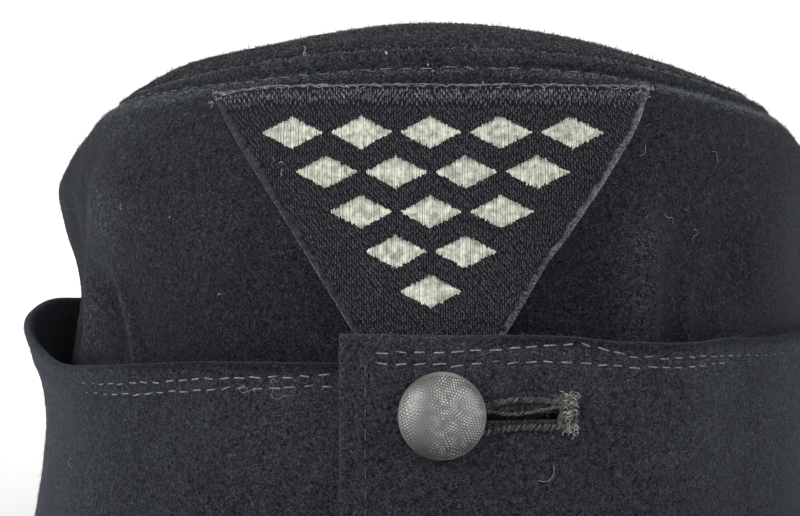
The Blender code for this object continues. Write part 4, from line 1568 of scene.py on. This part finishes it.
def add_nap(piece, name, count, seed, keep, lift=0.00022, size=1.0, thick=1.0, look=None):
    """Covers a piece with loose fibres."""
    cloth = setting("cloth")
    rng = np.random.default_rng(seed)
    roots, normals = surface_samples(piece, count, rng, keep)
    points, faces = fibres(roots, normals, size * cloth.nap_length, thick * cloth.nap_thickness, lift, rng)
    return new_piece(name, points, faces, look or loose_wool(), "wool_cloth")


def outside(centre, normal):
    """Faces that point away from the cap's middle line, more of them at the front."""
    out = centre - np.array([HEAD_X, HEAD_Y + 0.004, 0.05])
    away = np.einsum("ij,ij->i", out * (1, 1, 0.5), normal) > 0.004
    front = mix(0.35, 1.0, ease(HEAD_Y, HEAD_Y - 0.07, centre[:, 1]))
    return away * (centre[:, 2] > 0.002) * front


def outside_crown(centre, normal):
    """As outside, with fewer fibres low on the wall."""
    high = ease(FLAP_EDGE_HEIGHT, FLAP_EDGE_HEIGHT + 0.028, centre[:, 2])
    return outside(centre, normal) * mix(0.35, 1.0, high)


def ridge(centre, normal):
    """Faces of the seam's ridge, most of them in front."""
    # Upward faces get the lighter fibres of the ridge's wear and painted highlight
    front = mix(0.15, 1.0, ease(HEAD_Y - 0.03, HEAD_Y - 0.075, centre[:, 1]))
    return front * ease(0.35, 0.85, normal[:, 2]) * (centre[:, 2] > SEAM_BACK_HEIGHT - 0.005)


def tone(name, description, default):
    """A setting for a colour."""
    limits = {"min": 0, "max": 1, "subtype": "COLOR"}
    return FloatVectorProperty(name=name, description=description, default=default, **limits)


def number(name, description, default, **limits):
    """A setting for a number, with its limits and its unit or kind."""
    return FloatProperty(name=name, description=description, default=default, **limits)


def metres(name, description, default, least=0.0):
    """A setting for a length."""
    return number(name, description, default, min=least, unit="LENGTH")


class FieldCapCloth(bpy.types.PropertyGroup):
    wool_colour: tone("Wool colour", "Middle tone of the wool", (0.0087, 0.0093, 0.0113))
    # The flap and peak's wool is lighter than the crown's as painted light, for the light that the flap
    # catches
    worn_colour: tone(
        "Worn wool colour", "Middle tone of the more worn flap and peak", (0.0118, 0.0126, 0.0154)
    )
    sheen_colour: tone(
        "Bloom colour", "Tone that the nap takes on where the cloth turns away", (0.72, 0.84, 1.0)
    )
    nap_colour: tone("Nap colour", "Tone of the loose ends of wool", (0.046, 0.048, 0.054))
    # Lighter than the nap: wear on the seam, and a painted highlight along the ridge
    ridge_colour: tone("Ridge colour", "Tone of the loose wool along the top seam", (0.105, 0.115, 0.122))
    sheen: number("Bloom", "Strength of the nap's bloom", 0.055, min=0, max=1, subtype="FACTOR")
    # How strongly the painted shade and painted highlights darken or lighten the wool
    painted_shade_share: number("Kept dark", "How much darker unworn cloth is", 0.45, min=0, max=1, subtype="FACTOR")
    curl_size: metres("Curl size", "Size of the wool's curls", 0.0009, 0.0002)
    wave_height: metres("Wave height", "Unevenness of the worn cloth", 0.00035)
    nap_length: metres("Nap length", "Length of a loose fibre", 0.0014)
    nap_thickness: metres("Nap thickness", "Thickness of a loose fibre", 0.00005)


class FieldCapThread(bpy.types.PropertyGroup):
    colour: tone("Thread colour", "Colour of the sewing thread", (0.128, 0.131, 0.125))
    thickness: metres("Thread thickness", "Thickness of the thread", 0.00028)
    dark_colour: tone(
        "Dark thread colour", "Colour of the upright row beside the lap", (0.045, 0.047, 0.052)
    )
    seam_colour: tone(
        "Seam thread colour", "Colour of the topstitch under the top seam", (0.150, 0.155, 0.152)
    )
    whip_colour: tone("Whipping colour", "Colour of the buttonhole's thread", (0.050, 0.053, 0.051))
    frayed_colour: tone("Frayed colour", "Colour of the thread's worn loops", (0.185, 0.185, 0.162))
    lint_colour: tone("Lint colour", "Colour of the hairs and specks on the cloth", (0.22, 0.22, 0.19))
    whip_thickness: metres("Whipping thickness", "Thickness of the buttonhole's thread", 0.00021)
    flap_pitch: metres("Flap pitch", "From stitch to stitch on the flap", 0.0032)
    seam_pitch: metres("Seam pitch", "From stitch to stitch at the top seam", 0.0038)


class FieldCapBadge(bpy.types.PropertyGroup):
    ground_colour: tone("Ground colour", "Tone of the badge between its threads", (0.0085, 0.0080, 0.0120))
    hem_colour: tone("Hem colour", "Tone of the badge's folded hems", (0.0130, 0.0135, 0.0155))
    satin_colour: tone("Top band colour", "Colour of the threads along the top", (0.095, 0.095, 0.110))
    band_colour: tone("Band colour", "Colour of the threads just below the top band", (0.050, 0.046, 0.068))
    motif_colour: tone("Motif colour", "Colour of the stitched lozenges", (0.34, 0.35, 0.295))
    selvedge_colour: tone(
        "Selvedge colour", "Colour of the frayed threads along the top", (0.100, 0.100, 0.112)
    )
    hand_pitch: metres("Hand stitch pitch", "From one hand stitch to the next", 0.0031, 0.001)
    # Tone of the hems' rubbed edge, and of the painted highlight along the lower left edge
    rubbed_and_highlight_colour: tone("Rubbed colour", "Tone of the hems' rubbed edge", (0.085, 0.085, 0.10))
    frayed_colour: tone("Frayed colour", "Colour of the loose thread ends", (0.22, 0.22, 0.21))
    weave_colour: tone("Weave colour", "Colour of the ground's upright threads", (0.030, 0.028, 0.038))
    weave_pitch: metres("Weave pitch", "From one ground thread to the next", 0.00042, 0.0002)
    weave_length: metres("Weave length", "Length of a ground thread", 0.00098, 0.0004)
    weave_thickness: metres("Weave thickness", "Thickness of a ground thread", 0.00027)
    strand_pitch: metres("Strand pitch", "From one satin strand to the next", 0.00036, 0.0001)
    band_height: metres("Band height", "Height of the satin band", 0.0035)
    motif_rows: IntProperty(name="Motif rows", description="Rows of lozenges", default=5, min=1, max=6)
    motif_below: metres("Motif below", "First row below the badge's top", 0.0085)
    motif_pitch: metres("Motif pitch", "From lozenge to lozenge", 0.0118, 0.001)
    motif_drop: metres("Motif drop", "From row to row of lozenges", 0.0068, 0.001)
    motif_width: metres("Motif width", "Width of a lozenge", 0.0102, 0.001)
    motif_height: metres("Motif height", "Height of a lozenge", 0.0056, 0.001)


class FieldCapButton(bpy.types.PropertyGroup):
    colour: tone("Paint colour", "Colour of the button's paint", (0.225, 0.226, 0.220))
    worn_colour: tone(
        "Worn colour", "Colour of the metal where the paint is rubbed off", (0.55, 0.53, 0.50)
    )
    pebble_pitch: metres("Pebble pitch", "From one pebble to the next", 0.00052, 0.0002)
    pebble_height: metres("Pebble height", "Height of the pebbles", 0.00012)


class FieldCapStage(bpy.types.PropertyGroup):
    floor_colour: tone("Floor colour", "Colour of the studio floor", (0.97, 0.97, 0.97))
    camera_distance: metres("Camera distance", "From the camera to the middle of the head", 0.4244, 0.1)
    camera_height: metres("Camera height", "Height above the floor", 0.0864)
    camera_side: metres("Camera side", "Shift from the head's middle to the side", -0.0053, -0.5)
    camera_tilt: number("Camera tilt", "How far it looks down", math.radians(3.01), subtype="ANGLE")
    lens: number("Lens", "Focal length in millimetres", 84.7, min=10)
    ambient: number("Surrounding light", "Strength of the white surroundings", 1.12, min=0)
    ceiling: number("Ceiling", "Brightness of the ceiling against the walls", 0.48, min=0, max=1)
    wall_top: number("Wall top", "Where the walls end, as the sine of the view angle", 0.10, min=0)
    left_light: number("Left light", "Strength of the light from the left", 4.1, min=0)
    right_light: number("Right light", "Strength of the light from the right", 2.3, min=0)
    softness: number("Softness", "Width of the lights", math.radians(28), min=0, subtype="ANGLE")


class FIELDCAP_OT_crown(bpy.types.Operator):
    """Build the crown wall and the oval top inside its seam"""

    bl_idname = "fieldcap.crown"
    bl_label = "Crown"

    def execute(self, context):
        wall_grid = crown_wall_grid(*WALL_GRID)
        points, faces = lofted(wall_grid, True)
        wall = new_piece("crown_wall_wool", points, faces, wool(), "wool_cloth")
        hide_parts("crown_wall")
        # Painted shade and highlights of the wall, by which its wool is darkened or lightened
        shade(wall, "painted_shade", self.painted_shade(wall_grid).ravel())
        points, faces, out = crown_top_parts(*TOP_GRID)
        top = new_piece("crown_top_wool", points, faces, top_wool(), "wool_cloth")
        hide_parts("crown_top")
        # Painted shade: the top is darker near its edge, where the seam's groove is in shade
        shade(top, "painted_shade", 1.1 * ease(0.90, 0.96, out))
        return {"FINISHED"}

    def painted_shade(self, grid):
        """Painted shade on each point of the wall: darker above the flap's edge, in folds and just under the
        topstitch, lighter on crests and along the seam's ridge in front, as painted highlights.
        """
        turn = wall_turns(grid.shape[0])
        height = grid[..., 2]
        # Painted shadow of the flap, reaching higher on the right and varying round the right front
        top = FLAP_EDGE_HEIGHT + mix(PAINTED_SHADE_LEFT, PAINTED_SHADE_RIGHT, ease(-0.8, 0.4, np.sin(turn)))
        low = 1 - ease(FLAP_EDGE_HEIGHT - PAINTED_SHADE_BELOW, top, height)
        low = low * (1 + 0.35 * hump(turn - 0.30, 0.16) - 0.55 * ease(0.48, 0.70, turn))
        raised, sunk = crests(turn, height)
        folds = sunk - 0.7 * fold_depth(turn, rise_at(turn, height))
        below = seam_height(turn) - height - column(SEAM_STITCHES, "below", np.degrees(turn))
        # In front: painted shade just under the topstitch and a painted highlight along the ridge above it
        seam = 0.8 * hump(below - 0.0005, 0.0012) - 1.1 * hump(below + 0.0024, 0.0021)
        seam = seam * ease(0.3, 0.9, np.cos(turn))
        # Painted shade in fold valleys and painted highlights on crests
        return np.maximum(low, ease(0.0004, 0.0028, folds)) + seam - 1.6 * ease(0.0, 0.0018, raised)


class FIELDCAP_OT_flap(bpy.types.Operator):
    """Build both halves of the turned-up flap"""

    bl_idname = "fieldcap.flap"
    bl_label = "Flap"

    def execute(self, context):
        for end in ("under", "over"):
            points, faces = lofted(flap_grid(end, FLAP_COLUMNS), False)
            half = new_piece("flap_" + end + "_wool", points, faces, worn_wool(), "wool_cloth")
            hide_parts("flap_" + end)
            # Painted shade and highlights of the flap, by which its wool is darkened or lightened
            shade(half, "painted_shade", self.painted_shade(points, end))
        return {"FINISHED"}

    def painted_shade(self, points, end):
        """Painted shade on the flap: darker along its edge in front and left of it, and in a patch on the
        left, with a painted highlight far left.
        """
        turn = np.arctan2(points[:, 0] - HEAD_X, HEAD_Y - points[:, 1])
        below = flap_height(turn, end) - points[:, 2]
        along = ease(0.02, 0.16, turn) if end == "over" else ease(0.02, 0.16, -turn) * ease(-0.9, -0.5, turn)
        edge = 1.7 * along * (1 - ease(0.0002, 0.0030, below))
        # Painted shade in a patch on the left, and a painted highlight far left
        return edge + 0.6 * hump(turn + 0.56, 0.28) - 0.9 * ease(0.95, 1.25, -turn)


class FIELDCAP_OT_peak(bpy.types.Operator):
    """Build the plain stiff peak"""

    bl_idname = "fieldcap.peak"
    bl_label = "Peak"

    def execute(self, context):
        points, faces = lofted(peak_grid(*PEAK_GRID), False)
        peak = new_piece("peak_wool", points, faces, worn_wool(), "peak_cloth")
        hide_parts("peak")
        return {"FINISHED"}


class FIELDCAP_OT_badge(bpy.types.Operator):
    """Build the badge's folded cloth"""

    bl_idname = "fieldcap.badge"
    bl_label = "Badge"

    def execute(self, context):
        grid, flat = badge_grid(*BADGE_GRID)
        points, faces = lofted(grid, False)
        badge = new_piece("badge_cloth", points, faces, badge_material(), "badge_weave")
        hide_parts("badge")
        low, high = badge_ends()
        x, height = flat.reshape(-1, 2).T
        inset = badge_half_width(height) - np.abs(x)
        up = (height - low) / (high - low)
        hem = 1 - ease(HEM_WIDTH - 0.0004, HEM_WIDTH + 0.0002, inset + 0.0004 * noise(points, 0.0018, 7))
        wear_and_highlight = 0.75 + 0.25 * noise(points, 0.0040, 5) + 0.3 * noise(points, 0.0009, 6)
        # Left: a thin light line low along the edge, a painted highlight where the turned edge catches the
        # light. Right: a lighter mottled hem
        left = 1.2 * hump(inset - 0.0001, 0.00026) * (1 - up) ** 1.2 + 0.16 * hem * up
        right = mix(0.6, 1.2, up) * (0.55 * hem + 0.45 * hump(inset - 0.0002, 0.0004))
        wear_and_painted_light = np.where(x < 0, left, right) * wear_and_highlight
        shade(badge, "hem", hem)
        shade(badge, "wear_and_painted_light", wear_and_painted_light)
        return {"FINISHED"}


class FIELDCAP_OT_embroidery(bpy.types.Operator):
    """Stitch the badge: its satin band, its lozenges and its edges"""

    bl_idname = "fieldcap.embroidery"
    bl_label = "Embroidery"

    def execute(self, context):
        badge = setting("badge")
        rng = np.random.default_rng(81)
        low, high = badge_ends()
        look = thread_material("motif_thread", badge.motif_colour, 0.45, 900.0)
        new_piece("badge_lozenges", *lozenge_strands(rng), look, "badge_weave")
        pitch, length, thickness = badge.weave_pitch, badge.weave_length, badge.weave_thickness
        band = high - badge.band_height
        for name, colour, start, end, size, lean in (
            ("weave", badge.weave_colour, low + 0.004, band - 0.0006, 1.0, 0.17),
            ("band", badge.band_colour, band, high - 0.0014, 1.2, 0.05),
            ("top_band", badge.satin_colour, high - 0.0022, high - 0.0003, 1.2, 0.05),
        ):
            look = thread_material(name + "_thread", colour, 0.6, 1300.0)
            threads = weave_threads(start, end, pitch, size * length, size * thickness, lean, rng)
            new_piece("badge_" + name, *threads, look, "badge_weave")
        self.selvedge(badge, high)
        self.hand_stitches(badge, low, high)
        self.loose_ends(badge, high)
        return {"FINISHED"}

    def selvedge(self, badge, high):
        """Light threads in small arcs along the top."""
        x = np.linspace(-0.5, 0.5, 500) * (BADGE_TOP_WIDTH - 0.0012)
        paths = []
        for k in range(4):
            place = stack(x, k, 0)
            wander = noise(place, 0.0030, 83 + k)
            arcs = np.abs(np.sin(math.pi * x / SELVEDGE_ARC + k + 1.5 * wander))
            height = high - 0.0004 + 0.00030 * arcs + 0.00018 * wander - 0.00013 * k
            lift = BADGE_CLOTH + 0.0001 + 0.00012 * noise(place, 0.0013, 86)
            paths.append(badge_at(x, height, lift))
        look = thread_material("selvedge_thread", badge.selvedge_colour, 0.5, 700.0)
        new_piece("badge_selvedge", *tubes(paths, FORWARD, SELVEDGE_RADIUS, 5), look, "badge_weave")

    def hand_stitches(self, badge, low, high):
        """Dark stitches that hold the sides."""
        rng = np.random.default_rng(82)
        share = np.linspace(0, 1, 6)
        paths = []
        for side in (-1, 1):
            height = np.arange(high - 0.004, low + 0.006, -badge.hand_pitch)
            height = height + rng.normal(0, 0.0004, len(height))
            spot = height[:, None] - HAND_STITCH_LENGTH * share
            inset = mix(0.0021, 0.0015, share) + rng.normal(0, 0.0002, (len(height), 1))
            across = side * (badge_half_width(spot) - inset)
            out = BADGE_CLOTH + HEM_THICKNESS - 0.0004 * (2 * share - 1) ** 4
            paths.append(badge_at(across, spot, out))
        look = thread_material("black_thread", (0.004, 0.004, 0.005), 0.5)
        tube = tubes(np.concatenate(paths), FORWARD, HAND_STITCH_RADIUS)
        new_piece("badge_hand_stitches", *tube, look, "badge_weave")

    def loose_ends(self, badge, high):
        """Frayed ends of light thread at both upper corners, a few along the top, and loose hairs."""
        rng = np.random.default_rng(97)
        corner = BADGE_TOP_WIDTH / 2 - 0.0010
        spots = []
        for side in np.repeat((-1, 1), 9):
            spots.append((side * corner + rng.normal(0, 0.0008), high - 0.0009 + rng.normal(0, 0.0007)))
        spots += [(rng.uniform(-corner, corner), high - 0.0005) for _ in range(12)]
        spots += [(across, high - below) for across, below in BADGE_HAIRS]

        def surface(x, height, lift):
            return badge_at(x, height, BADGE_CLOTH + 0.0001 + lift)

        paths = loose_threads(surface, spots, 0.0012, 1.3, 0.0004, rng)
        look = thread_material("frayed_ends", badge.frayed_colour, 0.5)
        new_piece("badge_loose_ends", *tubes(paths, FORWARD, LOOSE_END_RADIUS, 4), look, "badge_weave")


class FIELDCAP_OT_button(bpy.types.Operator):
    """Build the pebbled button on its shank"""

    bl_idname = "fieldcap.button"
    bl_label = "Button"

    def execute(self, context):
        place, level, up, out = button_seat()
        grid, raised = button_grid(*BUTTON_GRID)
        rings, sides = grid.shape[:2]
        points = place + grid[..., :1] * level + grid[..., 1:2] * up + grid[..., 2:] * out
        hubs = points[[0, -1]].mean(axis=1)
        points = np.concatenate([points.reshape(-1, 3), hubs])
        k = np.arange(sides)
        ahead, last = (k + 1) % sides, (rings - 1) * sides
        caps = np.concatenate(
            [
                np.stack([ahead, k, np.full(sides, rings * sides)], axis=-1),
                np.stack([last + k, last + ahead, np.full(sides, rings * sides + 1)], axis=-1),
            ]
        )
        faces = [strip_faces(rings, sides, False, True), caps[:, ::-1]]
        button = new_piece("pebbled_button", points, faces, button_material(), "button_paint")
        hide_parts("button")
        # Painted reflection: the pebbles' value, which sets paint tone and rubbed metal, is scaled brighter
        # in the middle and darker in a band on the left
        shade(button, "raised", np.concatenate([(raised * self.wear_and_painted_light(grid)).ravel(), [1, 0]]))
        return {"FINISHED"}

    def wear_and_painted_light(self, grid):
        """Painted reflection on the pebbles: brighter in the middle, darker in a band on the left and towards
        the upper right.
        """
        across, up = grid[..., 0], grid[..., 1]
        right = hump(across - 0.0052, 0.0026) * hump(up - 0.0042, 0.0030)
        return 1 + 0.5 * hump(across - 0.0008, 0.0032) - 0.62 * hump(across + 0.0042, 0.0024) - 0.4 * right


class FIELDCAP_OT_buttonhole(bpy.types.Operator):
    """Cut the buttonhole, whip its edges and close its end with a bar tack"""

    bl_idname = "fieldcap.buttonhole"
    bl_label = "Buttonhole"

    def execute(self, context):
        cut_slit(context.scene.objects["flap_over_wool"])
        thread = setting("thread")
        parts = []
        for k, edge in enumerate(HOLE_EDGES):
            at, up = smooth_line(edge.spots, 150)
            line = from_button(at, up, 0.0001)
            _, _, out = across_and_up(from_button, at, up)
            parts.append(rope(line, out, edge.radius, edge.turns, edge.yarns, thread.whip_thickness, 90 + k))
        parts.append(self.bar_tack(thread))
        look = thread_material("whipping_thread", thread.whip_colour, 0.85, 1500.0)
        new_piece("buttonhole_whipping", *joined(*parts), look, "wool_cloth")
        look = thread_material("frayed_thread", thread.frayed_colour, 0.85, 1500.0)
        new_piece("bar_tack_loops", *self.loops(thread), look, "wool_cloth")
        return {"FINISHED"}

    def bar_tack(self, thread):
        """Strands laid up and down across the end of the hole."""
        rng = np.random.default_rng(95)
        share = np.linspace(0, 1, 14)
        paths = []
        for k in range(TACK_STRANDS):
            across = mix(TACK_LEFT, TACK_RIGHT, rng.uniform())
            across = across + 0.0005 * np.sin(9 * share + 7 * k) * rng.uniform(0.3, 1)
            across = across + (share - 0.5) * rng.normal(0, 0.0012)
            up = mix(TACK_LOW, TACK_HIGH, share) * rng.uniform(0.75, 1.0)
            lift = 0.0009 * (1 - (2 * share - 1) ** 4) * rng.uniform(0.3, 1.0) - 0.0002
            paths.append(from_button(across, up, lift))
        return tubes(paths, button_seat()[3], 0.4 * thread.whip_thickness, 5)

    def loops(self, thread):
        """Loose frayed loops over the bar tack, most of them on its outer side."""
        rng = np.random.default_rng(96)
        share = np.linspace(0, 1, 16)
        paths = []
        for _ in range(TACK_LOOPS):
            middle = mix(TACK_LEFT, TACK_RIGHT, rng.beta(2.4, 1.2)) + 0.0002
            height = mix(TACK_LOW, TACK_HIGH, rng.uniform(0.02, 1.0))
            size = rng.uniform(0.00018, 0.00050)
            turn = rng.uniform(3.5, 8.0) * share + rng.uniform(0, 6)
            across = middle + size * np.cos(turn) + (share - 0.5) * rng.normal(0, 0.0006)
            up = height + 0.8 * size * np.sin(turn) + (share - 0.5) * rng.normal(0, 0.0008)
            lift = 0.0004 + 0.0007 * np.sin(math.pi * share) * rng.uniform(0.4, 1.2)
            paths.append(from_button(across, up, lift))
        return tubes(paths, button_seat()[3], 0.28 * thread.whip_thickness, 4)


class FIELDCAP_OT_stitching(bpy.types.Operator):
    """Sew the stitch rows of the flap and of the top seam"""

    bl_idname = "fieldcap.stitching"
    bl_label = "Stitching"

    def execute(self, context):
        thread = setting("thread")
        radius = thread.thickness / 2
        self.flap_rows(thread, radius)
        self.side_row(thread, radius)
        self.seam_row(thread, 0.5 * radius)
        self.peak_rows(thread, radius)
        return {"FINISHED"}

    def flap_rows(self, thread, radius):
        """Two rows along the edge of each half of the flap."""
        for end, low, high in (("under", -179, -10.2), ("over", -6.4, 179)):
            turn = np.radians(np.linspace(low, high, 900))
            along = turn * RIM_HALF_WIDTH
            sink = 1.6 * ease(-0.72, -1.0, turn) + 1.3 * ease(0.42, 0.85, turn)
            surface = scaled_flap(end)
            parts = []
            for k, below in enumerate(row_depths(turn, end)):
                paths, out = row_of_stitches(
                    surface, along, -below, thread.flap_pitch, STITCH_COVER, radius, 40 + k, sink
                )
                parts.append(tubes(paths, out, radius))
            new_piece("flap_" + end + "_stitches", *joined(*parts), grey_thread(), "wool_cloth")

    def side_row(self, thread, radius):
        """The dark upright row beside the lap."""
        below = np.linspace(SIDE_ROW_TOP, SIDE_ROW_END, 500)
        across = np.full(below.shape, SIDE_ROW_X)

        def surface(a, b):
            return front_flap_at(a, -b)

        paths, out = row_of_stitches(surface, across, -below, SIDE_ROW_PITCH, LOOSE_STITCH_COVER, radius, 48)
        look = thread_material("dark_thread", thread.dark_colour, 0.5)
        new_piece("flap_side_stitches", *tubes(paths, out, 0.8 * radius), look, "wool_cloth")

    def seam_row(self, thread, radius):
        """The topstitch below the ridge of the top seam."""
        turn = np.radians(np.linspace(-179.9, 179.9, 1500))
        along = turn * RIM_HALF_WIDTH
        below = column(SEAM_STITCHES, "below", np.degrees(turn))

        def surface(a, b):
            return crown_at(a / RIM_HALF_WIDTH, seam_height(a / RIM_HALF_WIDTH) + b)

        paths, out = row_of_stitches(
            surface, along, -below, thread.seam_pitch, LOOSE_STITCH_COVER, radius, 50
        )
        look = thread_material("seam_thread", thread.seam_colour, 0.5)
        new_piece("crown_stitches", *tubes(paths, out, radius), look, "wool_cloth")

    def peak_rows(self, thread, radius):
        """Two rows near the edge of the peak."""
        along = np.linspace(-0.9, 0.9, 700) * RIM_HALF_WIDTH

        def surface(a, b):
            return peak_at(a / RIM_HALF_WIDTH, 1 - b / PEAK_LENGTH, 0.0)

        for k, inset in enumerate(PEAK_ROWS):
            b = np.full(along.shape, inset)
            paths, out = row_of_stitches(surface, along, b, thread.flap_pitch, STITCH_COVER, radius, 52 + k)
            new_piece("peak_stitches_" + "ab"[k], *tubes(paths, out, radius), grey_thread(), "peak_cloth")


class FIELDCAP_OT_nap(bpy.types.Operator):
    """Lay loose fibres of wool over the cloth"""

    bl_idname = "fieldcap.nap"
    bl_label = "Nap"

    def execute(self, context):
        objects = context.scene.objects
        # Lighter fibres along the ridge: wear on the seam, and a painted highlight where the ridge's roll
        # catches the light
        wear_and_highlight = thread_material("ridge_nap", setting("cloth").ridge_colour, 0.6, 500.0)
        add_nap(objects["crown_wall_wool"], "crown_wall_nap", 12000, 61, outside_crown)
        add_nap(objects["crown_wall_wool"], "crown_ridge_nap", 10000, 66, ridge, 0.00025, 0.5, 1.5, wear_and_highlight)
        add_nap(objects["crown_top_wool"], "crown_top_nap", 14000, 62, outside, 0.00022, 0.5, 2.2)
        add_nap(objects["flap_under_wool"], "flap_under_nap", 6000, 63, outside)
        add_nap(objects["flap_over_wool"], "flap_over_nap", 8000, 64, outside)
        add_nap(objects["peak_wool"], "peak_nap", 3000, 65, lambda centre, normal: 1.0 * (normal[:, 2] > 0.3))
        return {"FINISHED"}


class FIELDCAP_OT_lint(bpy.types.Operator):
    """Drop a few light hairs and specks of lint on the cloth"""

    bl_idname = "fieldcap.lint"
    bl_label = "Lint"

    def execute(self, context):
        rng = np.random.default_rng(98)
        rows = [(lint, self.crown_surface) for lint in LINT]
        rows += [(lint, self.flap_surface(lint)) for lint in FLAP_LINT]
        parts = []
        for lint, surface in rows:
            turn = math.radians(lint.turn)
            spots = [(turn * RIM_HALF_WIDTH, lint.height)]
            paths = loose_threads(surface, spots, lint.length, lint.curl, LINT_LIFT, rng)
            parts.append(tubes(paths, (math.sin(turn), -math.cos(turn), 0.0), lint.radius, 4))
        look = thread_material("lint", setting("thread").lint_colour, 0.4)
        new_piece("lint_hairs", *joined(*parts), look, "wool_cloth")
        return {"FINISHED"}

    def crown_surface(self, a, b, lift):
        """The crown by length along the rim and by height."""
        return crown_at(a / RIM_HALF_WIDTH, b, LINT_OUT + lift)

    def flap_surface(self, lint):
        """The half of the flap that a hair lies on, by length along the rim and by depth below the edge."""
        end = "under" if lint.turn < LAP_TURN else "over"
        return lambda a, b, lift: flap_at(a / RIM_HALF_WIDTH, b, end, -LINT_OUT - lift)


class FIELDCAP_OT_stage(bpy.types.Operator):
    """Set up the floor, the lights, the surroundings and the camera"""

    bl_idname = "fieldcap.stage"
    bl_label = "Stage"

    def execute(self, context):
        stage = setting("stage")
        self.floor(context, stage)
        self.surroundings(context, stage)
        self.lights(context, stage)
        self.camera(context, stage)
        context.scene.view_settings.view_transform = "Standard"
        return {"FINISHED"}

    def floor(self, context, stage):
        """A wide pale disc."""
        bpy.ops.mesh.primitive_circle_add(vertices=96, radius=FLOOR_RADIUS, fill_type="NGON")
        floor = context.object
        floor.name = "studio_floor"
        look, tree, shader = new_material("studio_floor")
        grain = add_node(tree, "TexNoise", {"Scale": 40.0, "Detail": 3.0}).outputs["Fac"]
        light = list(stage.floor_colour)
        tree.links.new(ramp(tree, grain, 0.3, 0.7, scaled(light, 0.99), light), shader.inputs["Base Color"])
        shader.inputs["Roughness"].default_value = 0.9
        floor.data.materials.append(look)

    def surroundings(self, context, stage):
        """Low white walls all round under a dimmer ceiling."""
        world = bpy.data.worlds.new("white_surroundings")
        context.scene.world = world
        world.use_nodes = True
        tree = world.node_tree
        up = add_node(tree, "SeparateXYZ", {0: add_node(tree, "TexCoord").outputs["Generated"]}).outputs["Z"]
        end = stage.wall_top + WALL_FADE
        shade = ramp(tree, up, stage.wall_top, end, (1.0,) * 3, (stage.ceiling,) * 3)
        back = tree.nodes["Background"]
        tree.links.new(shade, back.inputs["Color"])
        back.inputs["Strength"].default_value = stage.ambient

    def lights(self, context, stage):
        """Two wide soft lights, one from each side."""
        for name, azimuth, elevation, strength in (
            ("left_light", -60, 24, stage.left_light),
            ("right_light", 62, 25, stage.right_light),
        ):
            data = bpy.data.lights.new(name, "SUN")
            data.angle = stage.softness
            data.energy = strength
            data.color = LIGHT_COLOUR
            lamp = bpy.data.objects.new(name, data)
            context.scene.collection.objects.link(lamp)
            lamp.rotation_euler = (math.radians(90 - elevation), 0, math.radians(azimuth))

    def camera(self, context, stage):
        data = bpy.data.cameras.new("photo_camera")
        data.lens = stage.lens
        data.sensor_width = 36.0
        data.clip_start = 0.01
        camera = bpy.data.objects.new("photo_camera", data)
        context.scene.collection.objects.link(camera)
        camera.location = (HEAD_X + stage.camera_side, HEAD_Y - stage.camera_distance, stage.camera_height)
        camera.rotation_euler = (math.pi / 2 - stage.camera_tilt, 0, 0)
        context.scene.camera = camera


OPERATORS = (
    FIELDCAP_OT_crown,
    FIELDCAP_OT_flap,
    FIELDCAP_OT_peak,
    FIELDCAP_OT_badge,
    FIELDCAP_OT_embroidery,
    FIELDCAP_OT_button,
    FIELDCAP_OT_buttonhole,
    FIELDCAP_OT_stitching,
    FIELDCAP_OT_nap,
    FIELDCAP_OT_lint,
    FIELDCAP_OT_stage,
)


class FIELDCAP_PT_panel(bpy.types.Panel):
    """Field cap"""

    bl_idname = "FIELDCAP_PT_panel"
    bl_label = "Field cap"
    bl_space_type = "VIEW_3D"
    bl_region_type = "UI"
    bl_category = "Field cap"

    def draw(self, context):
        for operator in OPERATORS:
            self.layout.operator(operator.bl_idname)
        for group, properties in SETTINGS:
            box = self.layout.box()
            for name in properties.__annotations__:
                box.prop(setting(group), name)


SETTINGS = (
    ("cloth", FieldCapCloth),
    ("thread", FieldCapThread),
    ("badge", FieldCapBadge),
    ("button", FieldCapButton),
    ("stage", FieldCapStage),
)


def register():
    for name, group in SETTINGS:
        bpy.utils.register_class(group)
        setattr(bpy.types.Scene, "field_cap_" + name, PointerProperty(type=group))
    for operator in OPERATORS:
        bpy.utils.register_class(operator)
    bpy.utils.register_class(FIELDCAP_PT_panel)


def unregister():
    bpy.utils.unregister_class(FIELDCAP_PT_panel)
    for operator in reversed(OPERATORS):
        bpy.utils.unregister_class(operator)
    for name, group in reversed(SETTINGS):
        delattr(bpy.types.Scene, "field_cap_" + name)
        bpy.utils.unregister_class(group)


def main():
    """Builds the whole cap."""
    register()
    for operator in OPERATORS:
        family, name = operator.bl_idname.split(".")
        getattr(getattr(bpy.ops, family), name)()
    bpy.context.view_layer.update()


if __name__ == "__main__":
    main()
